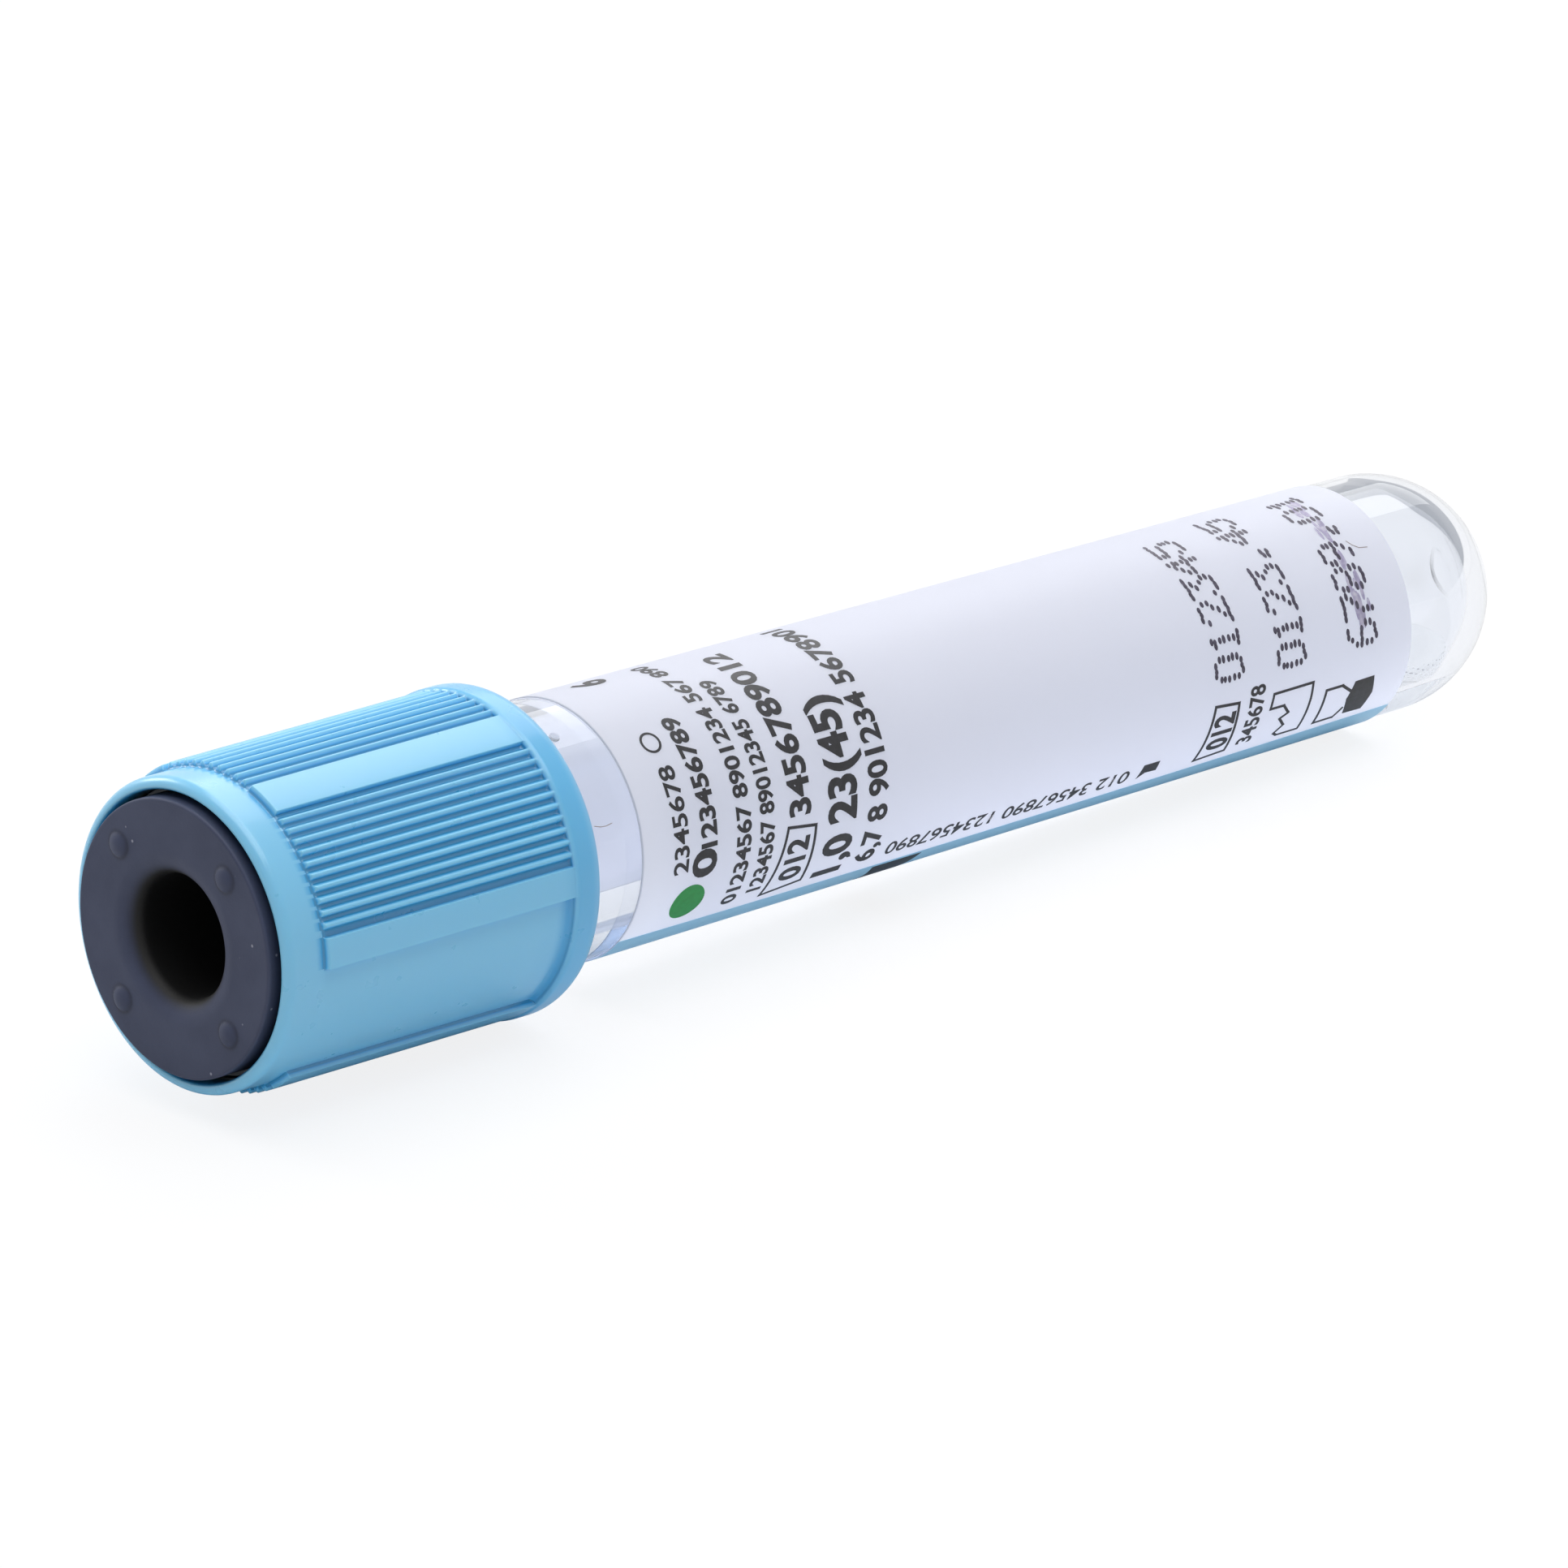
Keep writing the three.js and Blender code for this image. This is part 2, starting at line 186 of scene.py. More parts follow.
def filleted(
    corners: list[tuple[float, float, float]], steps: int = 5, closed: bool = True
) -> np.ndarray:
    """A polygon in the (x, radius) plane with its corners rounded.

    Formula: a fillet of size f at a corner that turns by a starts f tan(a/2) before the corner
    and ends as far after it; its points are a blend of the two tangent points and the corner
    along a circle. A support point stands a little outside each tangent point, so that the
    smooth shading of a fillet doesn't spread over the flat beside it.

    Args:
        corners: (x, radius, fillet size) of each corner; a size of 0 keeps it sharp.
        steps: steps along each fillet.
        closed: whether the last corner joins the first.

    Returns:
        An array of (x, radius) rows.
    """
    points = np.array([corner[:2] for corner in corners], float)
    rows: list[np.ndarray] = []
    for index, (x, radius, size) in enumerate(corners):
        at_end = not closed and index in (0, len(corners) - 1)
        if size == 0 or at_end:
            rows.append(np.array([[x, radius]]))
            continue
        here = points[index]
        back = points[index - 1] - here
        ahead = points[(index + 1) % len(points)] - here
        back_length, ahead_length = np.hypot(*back), np.hypot(*ahead)
        back, ahead = back / back_length, ahead / ahead_length
        half = 0.5 * math.acos(float(np.clip(back @ ahead, -1, 1)))
        reach = size / math.tan(half)
        inward = (back + ahead) / np.hypot(*(back + ahead))
        centre = here + inward * size / math.sin(half)
        first, last = here + back * reach - centre, here + ahead * reach - centre
        sweep = math.pi - 2 * half
        part = np.linspace(0, 1, steps + 1)[:, None] * sweep
        bend = (np.sin(sweep - part) * first + np.sin(part) * last) / math.sin(sweep)
        support = 0.25 * size
        before = here + back * min(reach + support, 0.5 * back_length)
        after = here + ahead * min(reach + support, 0.5 * ahead_length)
        rows.append(np.vstack([before[None], centre + bend, after[None]]))
    return np.vstack(rows)


def smooth_step(value: np.ndarray, start: float, end: float) -> np.ndarray:
    """0 before start, 1 after end, and 3t2 - 2t3 between them."""
    part = np.clip((np.asarray(value, float) - start) / (end - start), 0, 1)
    return part * part * (3 - 2 * part)


def smooth_max(first: np.ndarray, second: np.ndarray, blend: float) -> np.ndarray:
    """The larger of two heights, with a fillet about blend wide where they are nearly equal."""
    near = np.clip(blend - np.abs(first - second), 0, None)
    return np.maximum(first, second) + near * near / (4 * blend)


# ------------------------------------------------------------------ meshes


@dataclass
class Surface:
    """A surface before it is a Blender mesh.

    Attributes:
        points: an array of (n, 3) places in metres.
        quads: an array of (m, 4) indices.
        triangles: an array of (k, 3) indices.
    """

    points: np.ndarray
    quads: np.ndarray
    triangles: np.ndarray = field(default_factory=lambda: np.zeros((0, 3), int))

    def volume(self) -> float:
        """Volume inside a closed surface, a sixth of each triangle's box product, summed."""
        fans = np.vstack([self.quads[:, [0, 1, 2]], self.quads[:, [0, 2, 3]], self.triangles])
        a, b, c = (self.points[fans[:, k]] for k in range(3))
        return float(np.einsum("ij,ij->i", a, np.cross(b, c)).sum() / 6)

    def facing_out(self) -> "Surface":
        """The same surface, with its faces turned round if they pointed inwards."""
        if self.volume() < 0:
            return Surface(self.points, self.quads[:, ::-1], self.triangles[:, ::-1])
        return self


def grid_quads(rows: int, columns: int, wrap_rows: bool, wrap_columns: bool) -> np.ndarray:
    """Quads of a grid whose points are numbered row by row.

    Formula: the quad at (i, j) joins (i, j), (i, j + 1), (i + 1, j + 1) and (i + 1, j), and an
    index past a wrapped side starts again at 0.

    Args:
        rows: number of rows of points.
        columns: number of points in a row.
        wrap_rows: whether the last row joins the first.
        wrap_columns: whether the last column joins the first.

    Returns:
        An array of (m, 4) indices.
    """
    i, j = np.meshgrid(
        np.arange(rows if wrap_rows else rows - 1),
        np.arange(columns if wrap_columns else columns - 1),
        indexing="ij",
    )
    below, beside = (i + 1) % rows, (j + 1) % columns
    corners = [i * columns + j, i * columns + beside, below * columns + beside, below * columns + j]
    return np.stack(corners, axis=-1).reshape(-1, 4)


def turned(space: TubeFrame, profile: np.ndarray, columns: int) -> Surface:
    """A body of revolution about the tube's axis.

    Formula: each profile point (x, r) becomes the ring (x, r, t) for t in equal turns. A profile
    that starts or ends on the axis gets one point there and a fan of triangles round it, and
    any other profile closes on itself.

    Args:
        space: the tube's frame.
        profile: (x, radius) rows in millimetres.
        columns: points in a ring.

    Returns:
        The closed surface, facing out.
    """
    angles = np.arange(columns) * 360.0 / columns
    on_axis = [abs(profile[0, 1]) < 1e-9, abs(profile[-1, 1]) < 1e-9]
    rings = profile[1 if on_axis[0] else 0 : len(profile) - 1 if on_axis[1] else len(profile)]
    points = space.place(rings[:, 0, None], rings[:, 1, None], angles[None]).reshape(-1, 3)
    quads = grid_quads(len(rings), columns, not any(on_axis), True)
    ring = np.arange(columns)
    following = (ring + 1) % columns
    fans = []
    if on_axis[0]:
        points = np.vstack([points, space.place(profile[0, 0], 0, 0)[None]])
        fans.append(np.stack([np.full(columns, len(points) - 1), following, ring], axis=-1))
    if on_axis[1]:
        points = np.vstack([points, space.place(profile[-1, 0], 0, 0)[None]])
        last = (len(rings) - 1) * columns
        fans.append(np.stack([np.full(columns, len(points) - 1), last + ring, last + following], axis=-1))
    triangles = np.vstack(fans) if fans else np.zeros((0, 3), int)
    return Surface(points, quads, triangles).facing_out()


def shell(inner: np.ndarray, outer: np.ndarray) -> Surface:
    """A thin closed body between two grids of the same size.

    Formula: the outer grid, the inner grid turned over, and a strip of quads along each of the
    four sides that joins the two.

    Args:
        inner: (rows, columns, 3) places in metres.
        outer: the same, on the outside.

    Returns:
        The closed surface, facing out.
    """
    rows, columns = outer.shape[:2]
    number = np.arange(rows * columns).reshape(rows, columns)
    face = grid_quads(rows, columns, False, False)
    rim = np.concatenate([number[0, :-1], number[:-1, -1], number[-1, :0:-1], number[:0:-1, 0]])
    following = np.roll(rim, -1)
    under = rows * columns
    sides = np.stack([following, rim, rim + under, following + under], axis=-1)
    points = np.vstack([outer.reshape(-1, 3), inner.reshape(-1, 3)])
    return Surface(points, np.vstack([face, face[:, ::-1] + under, sides])).facing_out()


def joined(parts: list[Surface]) -> Surface:
    """Several separate closed surfaces as one, with their indices shifted."""
    starts = np.cumsum([0] + [len(part.points) for part in parts[:-1]])
    return Surface(
        np.vstack([part.points for part in parts]),
        np.vstack([part.quads + start for part, start in zip(parts, starts)]),
        np.vstack([part.triangles + start for part, start in zip(parts, starts)]),
    )


def make_piece(
    name: str,
    surface: Surface,
    finish: bpy.types.Material,
    sharp: float = 40.0,
    values: dict[str, np.ndarray] | None = None,
) -> bpy.types.Object:
    """Makes a Blender object of a surface, at the origin, with its place in its mesh.

    Args:
        name: the piece's name.
        surface: its points and faces.
        finish: its material.
        sharp: edges that turn by more than this many degrees stay sharp.
        values: per-point attributes by name, for the material to read.

    Returns:
        The object.
    """
    mesh = bpy.data.meshes.new(name)
    mesh.from_pydata(surface.points.tolist(), [], surface.quads.tolist() + surface.triangles.tolist())
    for key, value in (values or {}).items():
        mesh.attributes.new(key, "FLOAT", "POINT").data.foreach_set("value", value.astype(np.float32))
    mesh.shade_smooth()
    mesh.set_sharp_from_angle(angle=math.radians(sharp))
    mesh.materials.append(finish)
    piece = bpy.data.objects.new(name, mesh)
    bpy.context.scene.collection.objects.link(piece)
    return piece


def belongs(piece: bpy.types.Object, body: Body, slot: Slot, *stands_for: str) -> bpy.types.Object:
    """Ties a piece to the frame.

    Args:
        piece: the finished object.
        body: the CAD body that it moves with.
        slot: the record's material slot; not used.
        stands_for: CAD nodes that it replaces.

    Returns:
        The piece.
    """
    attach(piece, body.value)
    if stands_for:
        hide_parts(*stands_for)
    log.info("%s: %d faces, on %s", piece.name, len(piece.data.polygons), body.value)
    return piece


# ------------------------------------------------------------------ materials


def linear(colour: str) -> tuple[float, float, float, float]:
    """An sRGB hex colour as linear RGBA, by the sRGB curve."""
    values = [int(colour[k : k + 2], 16) / 255 for k in (1, 3, 5)]
    red, green, blue = (v / 12.92 if v <= 0.04045 else ((v + 0.055) / 1.055) ** 2.4 for v in values)
    return red, green, blue, 1.0


def add_node(
    tree: bpy.types.NodeTree,
    kind: str,
    inputs: dict | None = None,
    stops: tuple[tuple[float, str], ...] = (),
    **settings: object,
) -> bpy.types.Node:
    """Adds one node with its settings and links.

    Args:
        tree: the node tree.
        kind: the node's type.
        inputs: for each socket, by name or number, a plain value or the output that feeds it.
        stops: for a colour ramp, (place, hex colour) in rising order.
        settings: the node's own properties.

    Returns:
        The node.
    """
    node = tree.nodes.new(kind)
    for key, value in settings.items():
        setattr(node, key, value)
    for key, value in (inputs or {}).items():
        if isinstance(value, bpy.types.NodeSocket):
            tree.links.new(value, node.inputs[key])
        else:
            node.inputs[key].default_value = value
    for index, (place, colour) in enumerate(stops):
        elements = node.color_ramp.elements
        element = elements[index] if index < len(elements) else elements.new(place)
        element.position = place
        element.color = linear(colour)
    return node


def new_material(name: str) -> tuple[bpy.types.Material, bpy.types.NodeTree]:
    """An empty node material and its tree."""
    material = bpy.data.materials.new(name)
    material.use_nodes = True
    material.node_tree.nodes.clear()
    return material, material.node_tree


def open_to(
    tree: bpy.types.NodeTree, ray: str, shader: bpy.types.NodeSocket, passed: str
) -> bpy.types.NodeSocket:
    """Lets one kind of ray go straight through a shader, with a part of its light.

    Args:
        tree: the node tree.
        ray: the Light Path output that names the rays.
        shader: what every other ray meets.
        passed: colour of the light that comes through.

    Returns:
        The mixed shader.
    """
    path = add_node(tree, "ShaderNodeLightPath")
    way = add_node(tree, "ShaderNodeBsdfTransparent", {"Color": linear(passed)})
    mixed = add_node(
        tree, "ShaderNodeMixShader", {0: path.outputs[ray], 1: shader, 2: way.outputs["BSDF"]}
    )
    return mixed.outputs["Shader"]


@dataclass(frozen=True)
class ClearPolyester:
    """PET, injection moulded in a polished mould: clear, a touch cool, with a mirror-like skin."""

    name: str = "injection_moulded_clear_pet"
    tint: str = "#F7F9FD"
    ior: float = 1.575
    roughness: float = 0.015
    drift_mm: float = 9.0  # length of the slow waves that moulding leaves in the wall
    drift_height_mm: float = 0.012
    passed: str = "#FAFBFD"  # what one face leaves of the lamps' light

    def material(self) -> bpy.types.Material:
        """Builds the material."""
        made, tree = new_material(self.name)
        place = add_node(tree, "ShaderNodeTexCoord").outputs["Object"]
        waves = add_node(
            tree,
            "ShaderNodeTexNoise",
            {"Vector": place, "Scale": 1 / (self.drift_mm * MM), "Detail": 1.0},
        )
        skin = add_node(
            tree,
            "ShaderNodeBump",
            {"Height": waves.outputs["Fac"], "Distance": self.drift_height_mm * MM, "Strength": 1.0},
        )
        shader = add_node(
            tree,
            "ShaderNodeBsdfPrincipled",
            {
                "Base Color": linear(self.tint),
                "Roughness": self.roughness,
                "IOR": self.ior,
                "Transmission Weight": 1.0,
                "Normal": skin.outputs["Normal"],
            },
        )
        lit = open_to(tree, "Is Diffuse Ray", shader.outputs["BSDF"], self.passed)
        whole = open_to(tree, "Is Shadow Ray", lit, self.passed)
        add_node(tree, "ShaderNodeOutputMaterial", {"Surface": whole})
        return made


@dataclass(frozen=True)
class ClearSolution:
    """Watery additive solution: colourless, its surface flat and mirror-like."""

    name: str = "watery_solution"
    tint: str = "#FDFEFE"
    ior: float = 1.15  # against the wall it wets, which a mesh of its own can't share

    def material(self) -> bpy.types.Material:
        """Builds the material."""
        made, tree = new_material(self.name)
        shader = add_node(
            tree,
            "ShaderNodeBsdfPrincipled",
            {
                "Base Color": linear(self.tint),
                "Roughness": 0.0,
                "IOR": self.ior,
                "Transmission Weight": 1.0,
            },
        )
        lit = open_to(tree, "Is Diffuse Ray", shader.outputs["BSDF"], self.tint)
        whole = open_to(tree, "Is Shadow Ray", lit, self.tint)
        add_node(tree, "ShaderNodeOutputMaterial", {"Surface": whole})
        return made


@dataclass(frozen=True)
class ButylRubber:
    """Chlorobutyl rubber, compression moulded: matt dark blue-grey with a fine grain and lint.

    The piece carries an attribute of painted shade, 0 on open faces and 1 where hardly any light
    gets in: there the colour is painted near-black, down the well and behind the head's edge, and
    partly round the foot of each bump.
    """

    name: str = "moulded_butyl_rubber"
    colour: str = "#343B54"
    mottle: str = "#3C435C"
    # the next colour is painted shade, near-black, for the well and the head's side
    shade_colour: str = "#020203"
    speck: str = "#8A8C9C"
    roughness: float = 0.58
    grain_mm: float = 0.16
    grain_height_mm: float = 0.006
    speck_pitch_mm: float = 1.6

    def material(self) -> bpy.types.Material:
        """Builds the material."""
        made, tree = new_material(self.name)
        place = add_node(tree, "ShaderNodeTexCoord").outputs["Object"]
        cloud = add_node(
            tree, "ShaderNodeTexNoise", {"Vector": place, "Scale": 1 / (2.5 * MM), "Detail": 4.0}
        )
        body = add_node(
            tree,
            "ShaderNodeValToRGB",
            {"Fac": cloud.outputs["Fac"]},
            stops=((0.35, self.colour), (0.65, self.mottle)),
        )
        lint = add_node(
            tree,
            "ShaderNodeTexVoronoi",
            {"Vector": place, "Scale": 1 / (self.speck_pitch_mm * MM), "Randomness": 1.0},
        )
        is_speck = add_node(
            tree,
            "ShaderNodeMapRange",
            {
                "Value": lint.outputs["Distance"],
                "From Min": 0.035,
                "From Max": 0.055,
                "To Min": 1.0,
                "To Max": 0.0,
            },
        )
        colour = add_node(
            tree,
            "ShaderNodeMix",
            {"Factor": is_speck.outputs["Result"], "A": body.outputs["Color"], "B": linear(self.speck)},
            data_type="RGBA",
        )
        # painted shade: the colour is mixed towards near-black by the piece's shade attribute
        painted_shade = add_node(tree, "ShaderNodeAttribute", attribute_name="painted_shade")
        shaded = add_node(
            tree,
            "ShaderNodeMix",
            {"Factor": painted_shade.outputs["Fac"], "A": colour.outputs["Result"], "B": linear(self.shade_colour)},
            data_type="RGBA",
        )
        grain = add_node(
            tree,
            "ShaderNodeTexNoise",
            {"Vector": place, "Scale": 1 / (self.grain_mm * MM), "Detail": 2.0},
        )
        relief = add_node(
            tree,
            "ShaderNodeBump",
            {"Height": grain.outputs["Fac"], "Distance": self.grain_height_mm * MM, "Strength": 1.0},
        )
        shader = add_node(
            tree,
            "ShaderNodeBsdfPrincipled",
            {
                "Base Color": shaded.outputs["Result"],
                "Roughness": self.roughness,
                "Specular IOR Level": 0.35,
                "IOR": 1.52,
                "Normal": relief.outputs["Normal"],
            },
        )
        add_node(tree, "ShaderNodeOutputMaterial", {"Surface": shader.outputs["BSDF"]})
        return made


@dataclass(frozen=True)
class PigmentedPolyethylene:
    """Polyethylene, injection moulded: satin light blue that lets a little light through.

    The piece carries an attribute of painted shade: 0 on its outer skin; 1 at the bottom of its
    grooves and up to a little over 1 at the pads' feet, in the flange's front corner and, less, on
    the flange, where a fuller, darker blue is painted for the shade there and for the light that has
    passed through the plastic; and 2 inside, behind the stopper's edge, where a dark blue is painted
    for the shade that falls there.
    """

    name: str = "moulded_light_blue_polyethylene"
    colour: str = "#80D0F9"
    # the next two colours are painted shade: a fuller, darker blue in grooves, corners and on the flange,
    # and a dark blue inside
    shade_colour: str = "#3AB0EA"
    inner_shade: str = "#0B2A3E"
    roughness: float = 0.3
    glow_mm: float = 0.6  # how far light spreads inside
    skin_mm: float = 1.6
    polish: float = 0.35  # how much of the mould's polish its skin keeps

    def material(self) -> bpy.types.Material:
        """Builds the material."""
        made, tree = new_material(self.name)
        place = add_node(tree, "ShaderNodeTexCoord").outputs["Object"]
        painted_shade = add_node(tree, "ShaderNodeAttribute", attribute_name="painted_shade")
        half_painted_shade = add_node(
            tree, "ShaderNodeMath", {0: painted_shade.outputs["Fac"], 1: 0.5}, operation="MULTIPLY"
        )
        # the colour is mixed towards the painted shade colours by the piece's shade attribute
        body = add_node(
            tree,
            "ShaderNodeValToRGB",
            {"Fac": half_painted_shade.outputs[0]},
            stops=((0.0, self.colour), (0.5, self.shade_colour), (1.0, self.inner_shade)),
        )
        skin = add_node(
            tree, "ShaderNodeTexNoise", {"Vector": place, "Scale": 1 / (self.skin_mm * MM), "Detail": 3.0}
        )
        sheen = add_node(
            tree,
            "ShaderNodeMapRange",
            {
                "Value": skin.outputs["Fac"],
                "From Min": 0.3,
                "From Max": 0.7,
                "To Min": self.roughness - 0.03,
                "To Max": self.roughness + 0.03,
            },
        )
        shader = add_node(
            tree,
            "ShaderNodeBsdfPrincipled",
            {
                "Base Color": body.outputs["Color"],
                "Roughness": sheen.outputs["Result"],
                "Specular IOR Level": 0.6,
                "IOR": 1.52,
                "Coat Weight": self.polish,
                "Coat Roughness": 0.16,
                "Coat IOR": 1.5,
                "Subsurface Weight": 0.25,
                "Subsurface Radius": (0.5, 0.8, 1.0),
                "Subsurface Scale": self.glow_mm * MM,
            },
        )
        add_node(tree, "ShaderNodeOutputMaterial", {"Surface": shader.outputs["BSDF"]})
        return made


@dataclass(frozen=True)
class LabelFilm:
    """White polypropylene label film: satin, a little translucent, with a very slight stipple and a
    painted shade along its cut edge.
    """

    name: str = "white_satin_label_film"
    colour: str = "#F1F1F8"
    cut: str = "#A9AEBE"  # painted shade along the film's cut edge
    roughness: float = 0.42
    stipple_mm: float = 0.25
    stipple_height_mm: float = 0.0012
    passed: float = 0.58  # share of the light that a face lets on into the film
    lamp_light: str = "#DCDDE2"  # what one face leaves of the lamps' light on its way inside

    def material(self) -> bpy.types.Material:
        """Builds the material."""
        made, tree = new_material(self.name)
        place = add_node(tree, "ShaderNodeTexCoord").outputs["Object"]
        stipple = add_node(
            tree,
            "ShaderNodeTexNoise",
            {"Vector": place, "Scale": 1 / (self.stipple_mm * MM), "Detail": 2.0},
        )
        relief = add_node(
            tree,
            "ShaderNodeBump",
            {
                "Height": stipple.outputs["Fac"],
                "Distance": self.stipple_height_mm * MM,
                "Strength": 1.0,
            },
        )
        # painted shade: the cut colour darkens the film along its edge
        edge = add_node(tree, "ShaderNodeAttribute", attribute_name="edge")
        body = add_node(
            tree,
            "ShaderNodeMix",
            {"Factor": edge.outputs["Fac"], "A": linear(self.colour), "B": linear(self.cut)},
            data_type="RGBA",
        )
        shader = add_node(
            tree,
            "ShaderNodeBsdfPrincipled",
            {
                "Base Color": body.outputs["Result"],
                "Roughness": self.roughness,
                "IOR": 1.49,
                "Normal": relief.outputs["Normal"],
            },
        )
        glow = add_node(
            tree,
            "ShaderNodeBsdfTranslucent",
            {"Color": (0.97, 0.98, 1.0, 1.0), "Normal": relief.outputs["Normal"]},
        )
        mixed = add_node(
            tree,
            "ShaderNodeMixShader",
            {0: self.passed, 1: shader.outputs["BSDF"], 2: glow.outputs["BSDF"]},
        )
        whole = open_to(tree, "Is Shadow Ray", mixed.outputs["Shader"], self.lamp_light)
        add_node(tree, "ShaderNodeOutputMaterial", {"Surface": whole})
        return made


@dataclass(frozen=True)
class Ink:
    """Printing ink on film: a thin satin coat whose strength varies a little.

    Attributes:
        name: the material's name.
        colour: where the ink is full.
        thin: where it is thinner.
        grain_mm: size of the uneven patches.
    """

    name: str
    colour: str
    thin: str
    grain_mm: float = 0.3

    def material(self) -> bpy.types.Material:
        """Builds the material."""
        made, tree = new_material(self.name)
        place = add_node(tree, "ShaderNodeTexCoord").outputs["Object"]
        patches = add_node(
            tree,
            "ShaderNodeTexNoise",
            {"Vector": place, "Scale": 1 / (self.grain_mm * MM), "Detail": 2.0},
        )
        body = add_node(
            tree,
            "ShaderNodeValToRGB",
            {"Fac": patches.outputs["Fac"]},
            stops=((0.4, self.colour), (0.75, self.thin)),
        )
        shader = add_node(
            tree,
            "ShaderNodeBsdfPrincipled",
            {"Base Color": body.outputs["Color"], "Roughness": 0.4, "IOR": 1.5},
        )
        add_node(tree, "ShaderNodeOutputMaterial", {"Surface": shader.outputs["BSDF"]})
        return made


BLACK_INK = Ink("black_printing_ink", "#141419", "#24242B")
GREEN_INK = Ink("green_printing_ink", "#00923A", "#069C42")
BLUE_INK = Ink("light_blue_printing_ink", "#A4DBFA", "#ADE0FC", grain_mm=1.2)
DOT_INK = Ink("dot_printer_ink", "#383244", "#5A5468", grain_mm=0.2)
SMEARED_INK = Ink("smeared_dot_printer_ink", "#A9A2C4", "#D6D3E4", grain_mm=0.3)
HAIR = Ink("fallen_brown_hair", "#8E7B6E", "#A8998E")


# ------------------------------------------------------------------ tube


@dataclass
class ClearTube:
    """The thin-walled tapered tube with a half-ball end. Sizes in millimetres."""

    space: TubeFrame
    mouth_at: float = 8.2
    length: float = 75.0
    mouth_radius: float = 6.5
    taper: float = 0.0087
    wall: float = 1.0
    lip_rounding: float = 0.3
    gate_radius: float = 1.5
    gate_rim: float = 0.28
    gate_depth: float = 0.04  # of the ring round the gate
    columns: int = 192
    dome_steps: int = 40
    wall_steps: int = 24
    skin: float = 0.006  # the fine surface lies this far inside the ground's touch

    @property
    def end_radius(self) -> float:
        """Outer radius of the half ball, which meets the taper where their radii agree."""
        return (self.mouth_radius - self.taper * self.length) / (1 - self.taper)

    @property
    def dome_at(self) -> float:
        """Where the half ball begins."""
        return self.mouth_at + self.length - self.end_radius

    def radius(self, x: np.ndarray | float) -> np.ndarray | float:
        """Outer radius at x."""
        return self.mouth_radius - self.taper * (x - self.mouth_at)

    def bore(self, x: np.ndarray | float) -> np.ndarray | float:
        """Inner radius at x."""
        return self.radius(x) - self.wall

    def profile(self) -> np.ndarray:
        """The wall's section, from the middle of the bore's end to the middle of the gate."""
        outer = self.end_radius - self.skin
        inner = self.end_radius - self.wall
        lip = self.lip_rounding
        lip_at, lip_out = self.mouth_at + lip, self.mouth_radius - lip - self.skin
        inside = arc(self.dome_at, 0, inner, 0, 90, self.dome_steps)
        mouth = arc(lip_at, lip_out, lip, 180, 90, 6)
        rim_angle = math.degrees(math.asin((self.gate_radius + self.gate_rim) / outer))
        outside = arc(self.dome_at, 0, outer, 90, rim_angle, self.dome_steps)
        top = self.dome_at + math.sqrt(outer**2 - self.gate_radius**2)
        gate = filleted(
            [
                (*outside[-1], 0),
                (top, self.gate_radius + 0.02, 0.12),
                (top - self.gate_depth, self.gate_radius - 0.35, 0.12),
                (top - 0.02, 0.55 * self.gate_radius, 0.4),
                (top - self.skin, 0, 0),
            ],
            closed=False,
        )
        along = np.linspace(self.dome_at - 0.4, self.mouth_at + 1.2, self.wall_steps)
        straight_in = np.stack([along, self.bore(along)], axis=-1)
        straight_out = np.stack([along[::-1], self.radius(along[::-1]) - self.skin], axis=-1)
        bore_edge = filleted(
            [
                (self.mouth_at + 1.2, self.bore(self.mouth_at + 1.2), 0),
                (self.mouth_at, self.bore(self.mouth_at), 0.15),
                (self.mouth_at, self.mouth_radius - lip, 0),
            ],
            closed=False,
        )[1:-1]
        return np.vstack([inside, straight_in, bore_edge, mouth, straight_out, outside, gate[1:]])

    def build(self, finish: bpy.types.Material) -> None:
        """Makes the tube."""
        surface = turned(self.space, self.profile(), self.columns)
        belongs(make_piece("clear_tube", surface, finish), Body.TUBE, Slot.CLEAR_PLASTIC, "tube")


# ------------------------------------------------------------------ solution and drop


